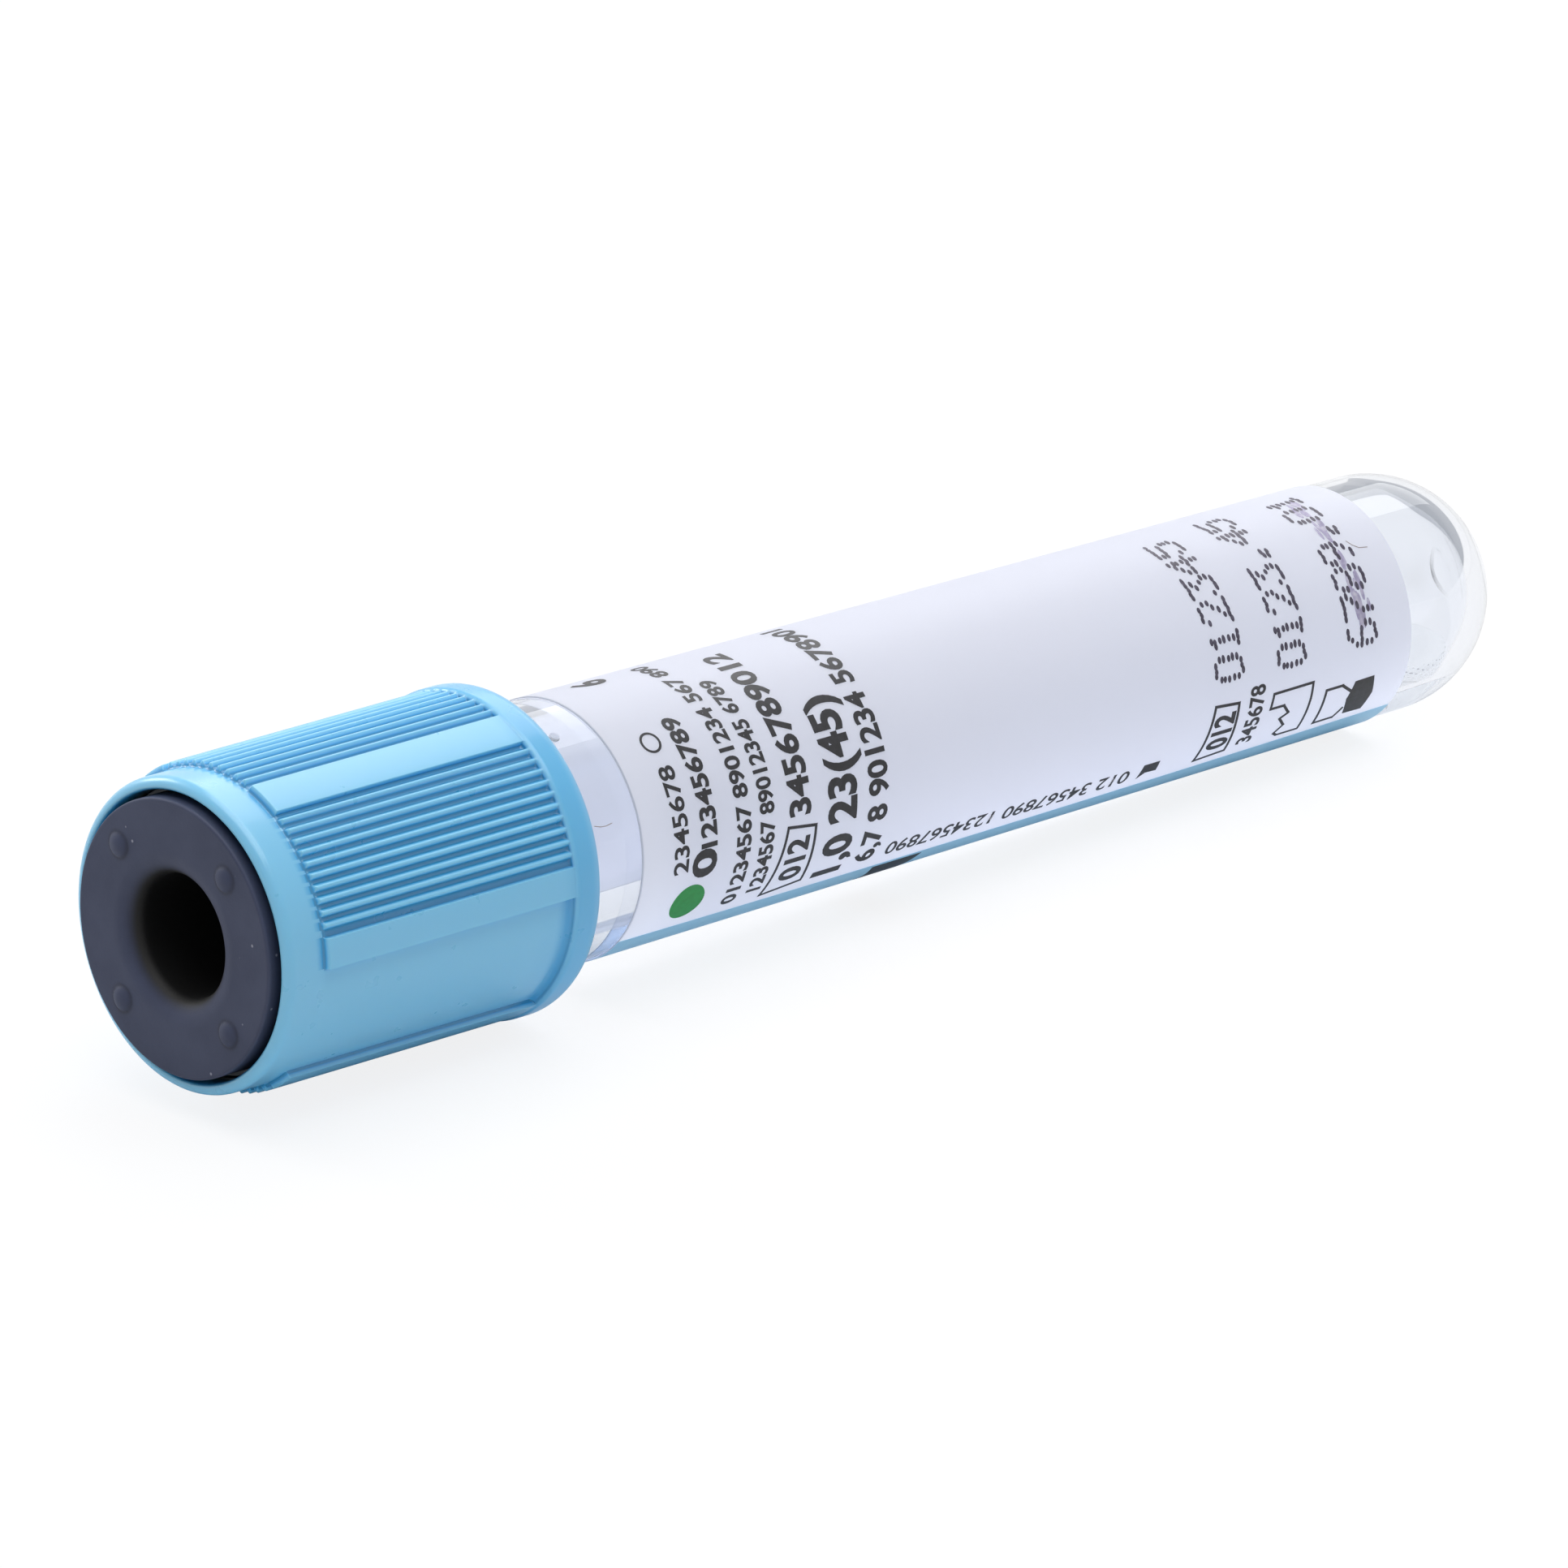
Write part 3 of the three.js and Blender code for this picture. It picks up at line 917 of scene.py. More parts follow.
@dataclass
class Solution:
    """The pool of clear solution along the lowest side of the bore. Sizes in millimetres."""

    tube: ClearTube
    start: float = 17.4
    wets: float = 0.01  # it reaches this far into the wall, as a wetted surface looks
    stations: int = 90
    arc_points: int = 24

    def build(self, finish: bpy.types.Material) -> None:
        """Makes the pool.

        Formula: at each x the pool is the part of the bore's circle below the level. The level
        lies a height h above the ground, and so (axis height - h) / cos tilt below the axis.
        """
        space, tube = self.tube.space, self.tube
        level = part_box("solution")[1].z
        dome_bore = tube.end_radius - tube.wall + self.wets
        along = (1 - np.cos(np.linspace(0, np.pi, self.stations))) / 2
        reach = tube.dome_at + dome_bore * 0.999
        x = self.start + (reach - self.start) * along
        past_dome = np.clip(x - tube.dome_at, 0, None)
        radius = np.where(
            past_dome > 0,
            np.sqrt(np.clip(dome_bore**2 - past_dome**2, 1e-6, None)),
            tube.bore(x) + self.wets,
        )
        axis_height = space.origin[2] / MM - x * math.sin(space.tilt)
        below = (axis_height - level / MM) / math.cos(space.tilt)
        keep = radius > below + 0.02
        x, radius, below = x[keep], radius[keep], below[keep]
        half = np.degrees(np.arccos(below / radius))
        turn = np.linspace(-1, 1, self.arc_points)
        floor_angle = 270 + half[:, None] * turn
        floor = np.broadcast_to(radius[:, None], floor_angle.shape)
        across = -turn[1:-1]
        side = radius[:, None] * np.sin(np.radians(half))[:, None] * across
        top_radius = np.hypot(side, below[:, None])
        top_angle = 270 + np.degrees(np.arctan2(side, below[:, None] * np.ones_like(side)))
        radii = np.hstack([floor, top_radius])
        angles = np.hstack([floor_angle, top_angle])
        rings = space.place(x[:, None], radii, angles)
        count, columns = rings.shape[:2]
        quads = grid_quads(count, columns, False, True)
        ends = rings[[0, -1]].mean(axis=1)
        points = np.vstack([rings.reshape(-1, 3), ends])
        ring = np.arange(columns)
        following = (ring + 1) % columns
        last = (count - 1) * columns
        fans = np.vstack(
            [
                np.stack([np.full(columns, len(points) - 2), following, ring], axis=-1),
                np.stack([np.full(columns, len(points) - 1), last + ring, last + following], axis=-1),
            ]
        )
        surface = Surface(points, quads, fans).facing_out()
        belongs(make_piece("solution_pool", surface, finish), Body.TUBE, Slot.CLEAR_SOLUTION, "solution")


@dataclass
class Droplet:
    """A small drop that clings to the wall. Sizes in millimetres and degrees."""

    tube: ClearTube
    x: float = 21.25
    angle: float = 113.2
    size: float = 0.27
    height: float = 0.2
    columns: int = 32

    def build(self, finish: bpy.types.Material) -> None:
        """Makes the drop.

        Formula: a grid over a square is pulled to a disc by (u sqrt(1 - v2/2), v sqrt(1 - u2/2)),
        and the disc's height over the wall is the drop's height times 1 - d2, d being the
        distance from its middle.
        """
        side = np.linspace(-1, 1, self.columns)
        u, v = np.meshgrid(side, side, indexing="ij")
        across, along = u * np.sqrt(1 - v * v / 2), v * np.sqrt(1 - u * u / 2)
        distance = np.clip(np.hypot(across, along), 0, 1)
        wall = self.tube.radius(self.x)
        x = self.x + along * self.size
        angle = self.angle + np.degrees(across * self.size / wall)
        rise = self.height * np.sqrt(np.clip(1 - distance**2, 0, None))
        place = self.tube.space.place
        inner = place(x, self.tube.radius(x) - 0.02, angle)
        outer = place(x, self.tube.radius(x) + rise, angle)
        piece = make_piece("clinging_drop", shell(inner, outer), finish, sharp=80)
        belongs(piece, Body.TUBE, Slot.CLEAR_SOLUTION)


# ------------------------------------------------------------------ stopper


@dataclass
class Stopper:
    """The rubber stopper, with its needle well, witness bumps and plug. Sizes in millimetres."""

    tube: ClearTube
    head_radius: float = 6.73
    head_thickness: float = 2.0
    waist_radius: float = 6.16
    waist_end: float = 3.2
    shoulder_at: float = 8.15
    edge_rounding: float = 0.12
    well_radius: float = 3.0
    well_depth: float = 6.0
    lip_reach: float = 1.25  # how far from the well its lip begins to fall
    lip_depth: float = 0.95
    septum: float = 4.0
    plug_length: float = 8.2
    plug_hollow: float = 3.0
    plug_rings: int = 3
    ring_share: float = 0.6
    groove_depth: float = 0.2
    nose: float = 0.6
    bump_count: int = 4
    bump_circle: float = 5.32
    bump_radius: float = 0.62
    bump_height: float = 0.249
    bump_first_angle: float = 41.5
    # painted shade on the stopper: down the well, behind the head's edge and round each bump's foot
    well_shade: float = 0.5
    side_shade: float = 0.5
    foot_shade: float = 0.4  # at the foot of a bump
    columns: int = 360

    def plug_side(self) -> list[tuple[float, float, float]]:
        """Corners of the plug's side: sealing rings with grooves between them."""
        start = self.shoulder_at
        end = start + self.plug_length - self.nose
        pitch = (end - start) / self.plug_rings
        corners = []
        for ring in range(self.plug_rings):
            root = start + ring * pitch
            rise = root + pitch * (1 - self.ring_share)
            full = self.tube.bore(rise) - 0.03
            corners += [
                (root, full - self.groove_depth, 0.02),
                (rise, full - self.groove_depth, 0.05),
                (rise, full, 0.08),
                (root + pitch, self.tube.bore(root + pitch) - 0.03, 0.05),
            ]
        corners.append((end + self.nose, self.tube.bore(end) - self.nose, 0.1))
        return corners

    def face(self) -> np.ndarray:
        """The face from the well's side to the outer edge.

        Formula: the lip falls as a quarter of an ellipse, lip_reach across and lip_depth down.
        """
        turn = np.radians(np.linspace(0, 90, 17))
        lip = np.stack(
            [
                self.lip_depth * (1 - np.sin(turn)),
                self.well_radius + self.lip_reach * (1 - np.cos(turn)),
            ],
            axis=-1,
        )
        inner = self.well_radius + self.lip_reach
        outer = self.head_radius - self.edge_rounding
        flat = np.linspace(inner, outer, 42)[1:]
        face = np.stack([np.zeros_like(flat), flat], axis=-1)
        edge = arc(self.edge_rounding, outer, self.edge_rounding, 180, 90, 4)[1:]
        return np.vstack([lip, face, edge])

    def build(self, finish: bpy.types.Material) -> None:
        """Makes the stopper.

        Formula: a body of revolution, and each bump lifts the face by bump_height times
        (1 - d2) ** 0.7, d being the distance from the bump's middle over its radius.
        """
        well = filleted(
            [
                (self.well_depth, 0, 0),
                (self.well_depth, self.well_radius, 0.5),
                (self.lip_depth + 0.4, self.well_radius, 0),
            ],
            closed=False,
        )
        rest = filleted(
            [
                (self.edge_rounding + 0.1, self.head_radius, 0),
                (self.head_thickness, self.head_radius, 0.1),
                (self.head_thickness, self.waist_radius, 0.1),
                (self.waist_end, self.waist_radius, 0.1),
                (self.waist_end, self.head_radius, 0.1),
                (self.shoulder_at, self.head_radius, 0.1),
                *self.plug_side(),
                (self.shoulder_at + self.plug_length, self.plug_hollow, 0.15),
                (self.well_depth + self.septum, self.plug_hollow, 0.3),
                (self.well_depth + self.septum, 0, 0),
            ],
            closed=False,
            steps=3,
        )
        profile = np.vstack([well, self.face(), rest])
        surface = turned(self.tube.space, profile, self.columns)
        self.raise_bumps(surface, profile)
        # painted shade, carried as a per-point attribute
        painted_shade = self.painted_shade(surface, profile)
        piece = make_piece("rubber_stopper", surface, finish, sharp=50, values={"painted_shade": painted_shade})
        belongs(piece, Body.CLOSURE, Slot.STOPPER_RUBBER, "stopper")

    def painted_shade(self, surface: Surface, profile: np.ndarray) -> np.ndarray:
        """Painted shade at each point, from 0 on the face to 1 down the well and behind the edge.

        Formula: in the well it grows with the distance below the face, over well_shade, and on
        the head's side over side_shade. Round each bump's foot a bell curve paints a ring of foot_shade.

        Args:
            surface: the turned stopper.
            profile: the profile that it was turned from.

        Returns:
            A value for each point.
        """
        rings = profile[1:-1]
        in_well = (rings[:, 1] < self.well_radius + self.lip_reach) & (rings[:, 0] <= self.well_depth)
        behind = rings[:, 1] >= self.head_radius - 1e-6
        shade = np.where(in_well, smooth_step(rings[:, 0], 0.08, self.well_shade), 0.0)
        shade = np.where(behind, smooth_step(rings[:, 0], 0.1, self.side_shade), shade)
        angles = np.radians(np.arange(self.columns) * 360.0 / self.columns)
        at_foot = np.exp(-(((self.from_bumps(rings, angles) - 1.05) / 0.16) ** 2))
        on_face = (rings[:, 0] < 1e-6)[:, None]
        whole = np.maximum(shade[:, None], self.foot_shade * at_foot * on_face)
        values = np.ones(len(surface.points))
        values[: len(rings) * self.columns] = whole.ravel()
        return values

    def from_bumps(self, rings: np.ndarray, angles: np.ndarray) -> np.ndarray:
        """Distance from the nearest bump's middle over the bump's radius.

        Args:
            rings: (x, radius) rows.
            angles: in radians.

        Returns:
            An array of a row for each ring and a column for each angle.
        """
        first = math.radians(self.bump_first_angle)
        middles = first + np.arange(self.bump_count) * 2 * math.pi / self.bump_count
        radius, turn = rings[:, 1, None, None], angles[None, :, None]
        aside = radius * np.cos(turn) - self.bump_circle * np.cos(middles)
        above = radius * np.sin(turn) - self.bump_circle * np.sin(middles)
        return np.hypot(aside, above).min(axis=-1) / self.bump_radius

    def raise_bumps(self, surface: Surface, profile: np.ndarray) -> None:
        """Lifts the witness bumps out of the face's own points.

        Args:
            surface: the turned stopper, changed in place.
            profile: the profile that it was turned from.
        """
        rings = profile[1:-1]
        angles = np.arange(self.columns) * 360.0 / self.columns
        on_face = (rings[:, 0] < 1e-6)[:, None]
        distance = self.from_bumps(rings, np.radians(angles))
        lift = self.bump_height * np.clip(1 - distance**2, 0, None) ** 0.7 * on_face
        space = self.tube.space
        out = space.place(-lift, rings[:, 1, None], angles).reshape(-1, 3)
        flat = space.place(0 * lift, rings[:, 1, None], angles).reshape(-1, 3)
        surface.points[: len(out)] += out - flat


# ------------------------------------------------------------------ safety cap


@dataclass
class SafetyCap:
    """The push-on cap: rim, two ribbed grip pads, flange, and the ledge inside. Millimetres."""

    space: TubeFrame
    rim_at: float = 0.45
    end_at: float = 19.90
    outer_radius: float = 7.62
    rim_rounding: float = 0.5
    pocket_radius: float = 7.02
    ledge_radius: float = 6.28
    ledge_at: float = 2.15
    ledge_end: float = 3.05
    pocket_end: float = 8.27
    skirt_bore: float = 6.65
    lead_in: float = 0.3
    flange_height: float = 0.44
    flange_width: float = 2.0
    flange_front: float = 0.3
    flange_back: float = 1.0
    flange_fillet: float = 0.32
    pad_at: float = 2.60
    pad_height: float = 0.35
    pad_front: float = 0.13
    pad_count: int = 2
    pad_first_angle: float = 113.2
    centre_strip: float = 14.5
    end_strip: float = 11.3
    ribs: int = 10
    rib_pitch: float = 4.37
    rib_from_centre: float = 3.5
    rib_from_end: float = 4.15
    rib_foot: float = 3.75
    rib_height: float = 0.26
    points_per_rib: int = 10
    # strengths of painted shade: between the ribs, at the pads' feet and on the flange
    groove_shade: float = 0.4
    pad_foot_shade: float = 1.3
    flange_shade: float = 0.55

    @property
    def first_rib(self) -> float:
        """Angle from a pad's middle to its first rib."""
        return self.centre_strip / 2 + self.rib_from_centre

    @property
    def strip_angle(self) -> float:
        """Angle from a pad's middle to its end strip."""
        return self.first_rib + (self.ribs - 1) * self.rib_pitch + self.rib_from_end

    @property
    def half_pad(self) -> float:
        """Angle from a pad's middle to its edge."""
        return self.strip_angle + self.end_strip

    def from_pad_middle(self, angle: np.ndarray) -> np.ndarray:
        """Angle to the nearest pad's middle, at most half of a pad's share of the turn."""
        share = 360 / self.pad_count
        return np.abs((angle - self.pad_first_angle + share / 2) % share - share / 2)

    def relief(self, angle: np.ndarray) -> np.ndarray:
        """Height of the pads over the cap's wall at an angle.

        Formula: ribs are raised cosines, one each rib_pitch. The plain strips stand at full
        height, and the pad's edge falls to the wall over a degree.
        """
        off = self.from_pad_middle(angle)
        crest, valley = self.pad_height, self.pad_height - self.rib_height
        to_rib = off - self.first_rib
        nearest = np.clip(np.round(to_rib / self.rib_pitch), 0, self.ribs - 1) * self.rib_pitch
        part = np.clip(np.abs(to_rib - nearest) / (self.rib_foot / 2), 0, 1)
        rib = valley + self.rib_height * (0.5 + 0.5 * np.cos(np.pi * part)) ** 0.8
        fall = 0.55
        inner = 1 - smooth_step(off, self.centre_strip / 2 - fall / 2, self.centre_strip / 2 + fall / 2)
        outer = smooth_step(off, self.strip_angle - fall / 2, self.strip_angle + fall / 2)
        strips = valley + self.rib_height * np.maximum(inner, outer)
        pad = np.maximum(rib, strips)
        return pad * (1 - smooth_step(off, self.half_pad - 0.5, self.half_pad))

    def angles(self) -> np.ndarray:
        """Columns of the cap: close together where the relief changes, and wider elsewhere."""
        ribs = self.first_rib + self.rib_pitch * (
            np.arange(-0.5, self.ribs - 0.5, 1 / self.points_per_rib)
        )
        strip_edge = np.arange(-0.45, 0.5, 0.15)
        half = np.concatenate(
            [
                np.linspace(0, self.centre_strip / 2 - 0.6, 6),
                self.centre_strip / 2 + strip_edge,
                ribs[ribs > self.centre_strip / 2 + 0.6],
                self.strip_angle + strip_edge,
                np.linspace(self.strip_angle + 0.7, self.half_pad - 1.2, 7),
                self.half_pad + np.arange(-0.6, 0.65, 0.1),
                np.linspace(self.half_pad + 0.9, 180 / self.pad_count, 18),
            ]
        )
        half = np.unique(np.round(half, 3))
        share = np.concatenate([-half[1:-1][::-1], half])
        turns = self.pad_first_angle + np.arange(self.pad_count)[:, None] * 360 / self.pad_count
        return np.sort(np.unique(np.round((turns + share).ravel() % 360, 3)))

    def outside(self) -> np.ndarray:
        """Section of the outside, from the rim to the flange's end, without the pads."""
        wall, top = self.outer_radius, self.outer_radius + self.flange_height
        front = self.end_at - self.flange_width
        rim = arc(self.rim_at + self.rim_rounding, wall - self.rim_rounding, self.rim_rounding, 180, 90, 9)
        before_pad = np.array([[x, wall] for x in np.linspace(rim[-1, 0] + 0.1, self.pad_at - 0.12, 6)])
        pad_rise = np.array([[x, wall] for x in self.pad_at + np.linspace(-0.08, self.pad_front + 0.1, 9)])
        along = np.array([[x, wall] for x in np.linspace(self.pad_at + 0.8, front - 0.8, 14)])
        flange = filleted(
            [
                (front - 0.6, wall, 0),
                (front - 0.03, wall, self.flange_fillet),
                (front + 0.03, top, self.flange_front),
                (self.end_at - self.flange_back, top, 0),
            ],
            closed=False,
            steps=7,
        )
        back = arc(self.end_at - self.flange_back, top - self.flange_back, self.flange_back, 90, 0, 14)
        return np.vstack([rim, before_pad, pad_rise, along, flange, back[1:]])

    def inside(self) -> np.ndarray:
        """Section of the inside, from the flange's end back to the rim."""
        return filleted(
            [
                (self.end_at, self.skirt_bore + self.lead_in, 0.1),
                (self.end_at - self.lead_in, self.skirt_bore, 0.1),
                (self.pocket_end, self.skirt_bore, 0.08),
                (self.pocket_end, self.pocket_radius, 0.08),
                (self.ledge_end, self.pocket_radius, 0.08),
                (self.ledge_end, self.ledge_radius, 0.08),
                (self.ledge_at, self.ledge_radius, 0.08),
                (self.ledge_at, self.pocket_radius, 0.08),
                (self.rim_at + 0.12, self.pocket_radius, 0),
            ],
            closed=False,
            steps=2,
        )

    def build(self, finish: bpy.types.Material) -> None:
        """Makes the cap.

        Formula: outside, the radius is the smooth maximum of the plain section and of the wall
        plus the pads' relief, which rises over pad_front at the pads' start. Inside it is plain.
        """
        outside, inside, angles = self.outside(), self.inside(), self.angles()
        rise = smooth_step(outside[:, 0], self.pad_at - 0.02, self.pad_at + self.pad_front)
        relief = self.relief(angles)
        padded = self.outer_radius + rise[:, None] * relief[None]
        base = outside[:, 1, None]
        before_back = (outside[:, 0] < self.end_at - self.flange_back)[:, None]
        padded = np.where(before_back & (rise[:, None] > 0) & (relief[None] > 0), padded, 0)
        outer = smooth_max(base, padded, 0.05)
        inner = np.broadcast_to(inside[:, 1, None], (len(inside), len(angles)))
        x = np.concatenate([outside[:, 0], inside[:, 0]])[:, None]
        radius = np.vstack([outer, inner])
        points = self.space.place(x, radius, angles[None]).reshape(-1, 3)
        quads = grid_quads(len(x), len(angles), True, True)
        surface = Surface(points, quads).facing_out()
        # painted shade inside, behind the stopper's edge, and on the outside in grooves and corners
        inner_shade = smooth_step(inside[:, 0], self.rim_at + 0.1, self.rim_at + 0.6)
        inner_shade *= inside[:, 0] < self.pocket_end
        inner_shade = np.broadcast_to(1 + inner_shade[:, None], inner.shape)
        painted_shade = np.vstack([self.painted_shade(outside, outer, relief, angles), inner_shade])
        piece = make_piece("safety_cap", surface, finish, sharp=60, values={"painted_shade": painted_shade.ravel()})
        belongs(piece, Body.CLOSURE, Slot.CAP_PLASTIC, "cap")

    def painted_shade(
        self, outside: np.ndarray, outer: np.ndarray, relief: np.ndarray, angles: np.ndarray
    ) -> np.ndarray:
        """Painted shade at each point of the outside, in grooves, corners and on the flange, 0 to a little
        over 1.

        Formula: between the ribs, how far the relief is below the crest. Near the flange's
        front, and at the foot of a pad's side and front, a bell curve of the distance from the
        corner, where the surface is low. The thin flange gets an even painted shade.

        Args:
            outside: (x, radius) rows of the outside's section.
            outer: the radius of each point.
            relief: height of the pads at each angle.
            angles: the angles.

        Returns:
            A value for each point.
        """
        x = outside[:, 0, None]
        front = self.end_at - self.flange_width
        on_pad = (x > self.pad_at) & (x < front)
        valley = np.clip((self.pad_height - relief) / self.rib_height, 0, 1)[None]
        in_pad = valley * (relief > 0.3 * self.pad_height)[None] * on_pad
        near = np.exp(-(((x - front) / 0.45) ** 2)) * (x < front + 0.05)
        low = np.clip((self.outer_radius + self.flange_height - outer) / self.flange_height, 0, 1)
        past = np.clip(self.from_pad_middle(angles) - self.half_pad, 0, None)[None]
        beside = np.exp(-((past / 0.5) ** 2)) * (relief < 0.5 * self.pad_height)[None] * on_pad
        ahead = np.exp(-(((x - self.pad_at) / 0.14) ** 2)) * (x < self.pad_at + 0.05)
        at_foot = ahead * (relief > 0.1)[None]
        shade = np.maximum(self.groove_shade * in_pad, self.pad_foot_shade * np.maximum(beside, at_foot))
        on_flange = self.flange_shade * smooth_step(x, front, front + 0.3)
        return np.maximum(shade, np.maximum(near * low, on_flange))


# ------------------------------------------------------------------ label and print

FIGURE_HEIGHT = 0.73  # height of a numeral over its text's size

# Dots of a printer's numerals, five across and seven down, the left dot being the highest bit.
DOT_NUMERALS = {
    "0": (14, 17, 17, 17, 17, 17, 14),
    "1": (4, 12, 4, 4, 4, 4, 14),
    "2": (14, 17, 1, 2, 4, 8, 31),
    "3": (31, 2, 4, 2, 1, 17, 14),
    "4": (2, 6, 10, 18, 31, 2, 2),
    "5": (31, 16, 30, 1, 1, 17, 14),
    "6": (6, 8, 16, 30, 17, 17, 14),
    "7": (31, 1, 2, 4, 8, 8, 8),
    "8": (14, 17, 17, 14, 17, 17, 14),
    "9": (14, 17, 17, 15, 1, 2, 12),
    ".": (0, 0, 0, 0, 0, 12, 12),
}


@dataclass(frozen=True)
class NumberRow:
    """A row of plain numbers that runs round the tube.

    Attributes:
        text: what it shows.
        x: middle of the row along the tube, in millimetres.
        start: angle where it begins.
        end: angle where it ends.
        height: height of a numeral, in millimetres.
        bold: how much each stroke is thickened, in millimetres.
    """

    text: str
    x: float
    start: float
    end: float
    height: float
    bold: float = 0.0


@dataclass(frozen=True)
class LengthwiseRow:
    """A row of plain numbers along the tube that reads from the round end, upside down.

    Attributes:
        text: what it shows.
        start: x where it begins, in millimetres.
        end: x where it ends.
        angle: angle of its foot, where it begins.
        end_angle: angle of its foot, where it ends.
        height: height of a numeral, in millimetres.
        bold: how much each stroke is thickened, in millimetres.
    """

    text: str
    start: float
    end: float
    angle: float
    end_angle: float
    height: float
    bold: float = 0.0


NUMBER_ROWS = (
    NumberRow("2345678", 26.0, 188.5, 141.0, 0.95, 0.025),
    NumberRow("0", 27.5, 192.5, 181.0, 1.5, 0.07),
    NumberRow("123456789", 27.75, 179.5, 120.0, 1.0, 0.045),
    NumberRow("01234567 8901234 567 890", 30.0, 215.2, 76.0, 0.92, 0.035),
    NumberRow("1234567 89012345 6789", 31.5, 211.4, 105.4, 0.92, 0.035),
    NumberRow("012", 33.65, 210.5, 188.5, 1.35, 0.06),
    NumberRow("3456789012", 33.6, 177.4, 87.4, 1.36, 0.06),
    NumberRow("1,0 23(45)", 36.35, 215.2, 129.8, 1.8, 0.09),
    NumberRow("6,7 8 901234 5678901", 38.7, 214.4, 75.4, 1.25, 0.05),
    NumberRow("6", 26.6, 84.0, 76.0, 1.9, 0.08),
    NumberRow("012", 61.95, 210.8, 191.0, 1.35, 0.06),
    NumberRow("345678", 64.0, 213.4, 181.0, 1.0, 0.03),
)

LENGTHWISE_ROW = LengthwiseRow("012 34567890 1234567890", 56.3, 40.2, 208.3, 207.2, 0.92, 0.012)

# (x, angle) of the soft smears that a thumb left across the last row of dots
SMEARS = (
    (71.55, 95.1), (71.3, 103.1), (71.35, 113.7), (71.14, 120.4), (71.18, 134.1),
    (71.25, 147.6), (71.16, 154.6), (71.27, 159.4), (71.18, 164.7),
)

DOT_ROWS = (
    NumberRow("012345", 62.1, 174.4, 94.4, 1.75),
    NumberRow("0123.45", 66.3, 176.4, 86.9, 1.75),
    NumberRow("6789.01", 71.1, 176.4, 83.4, 1.85),
)


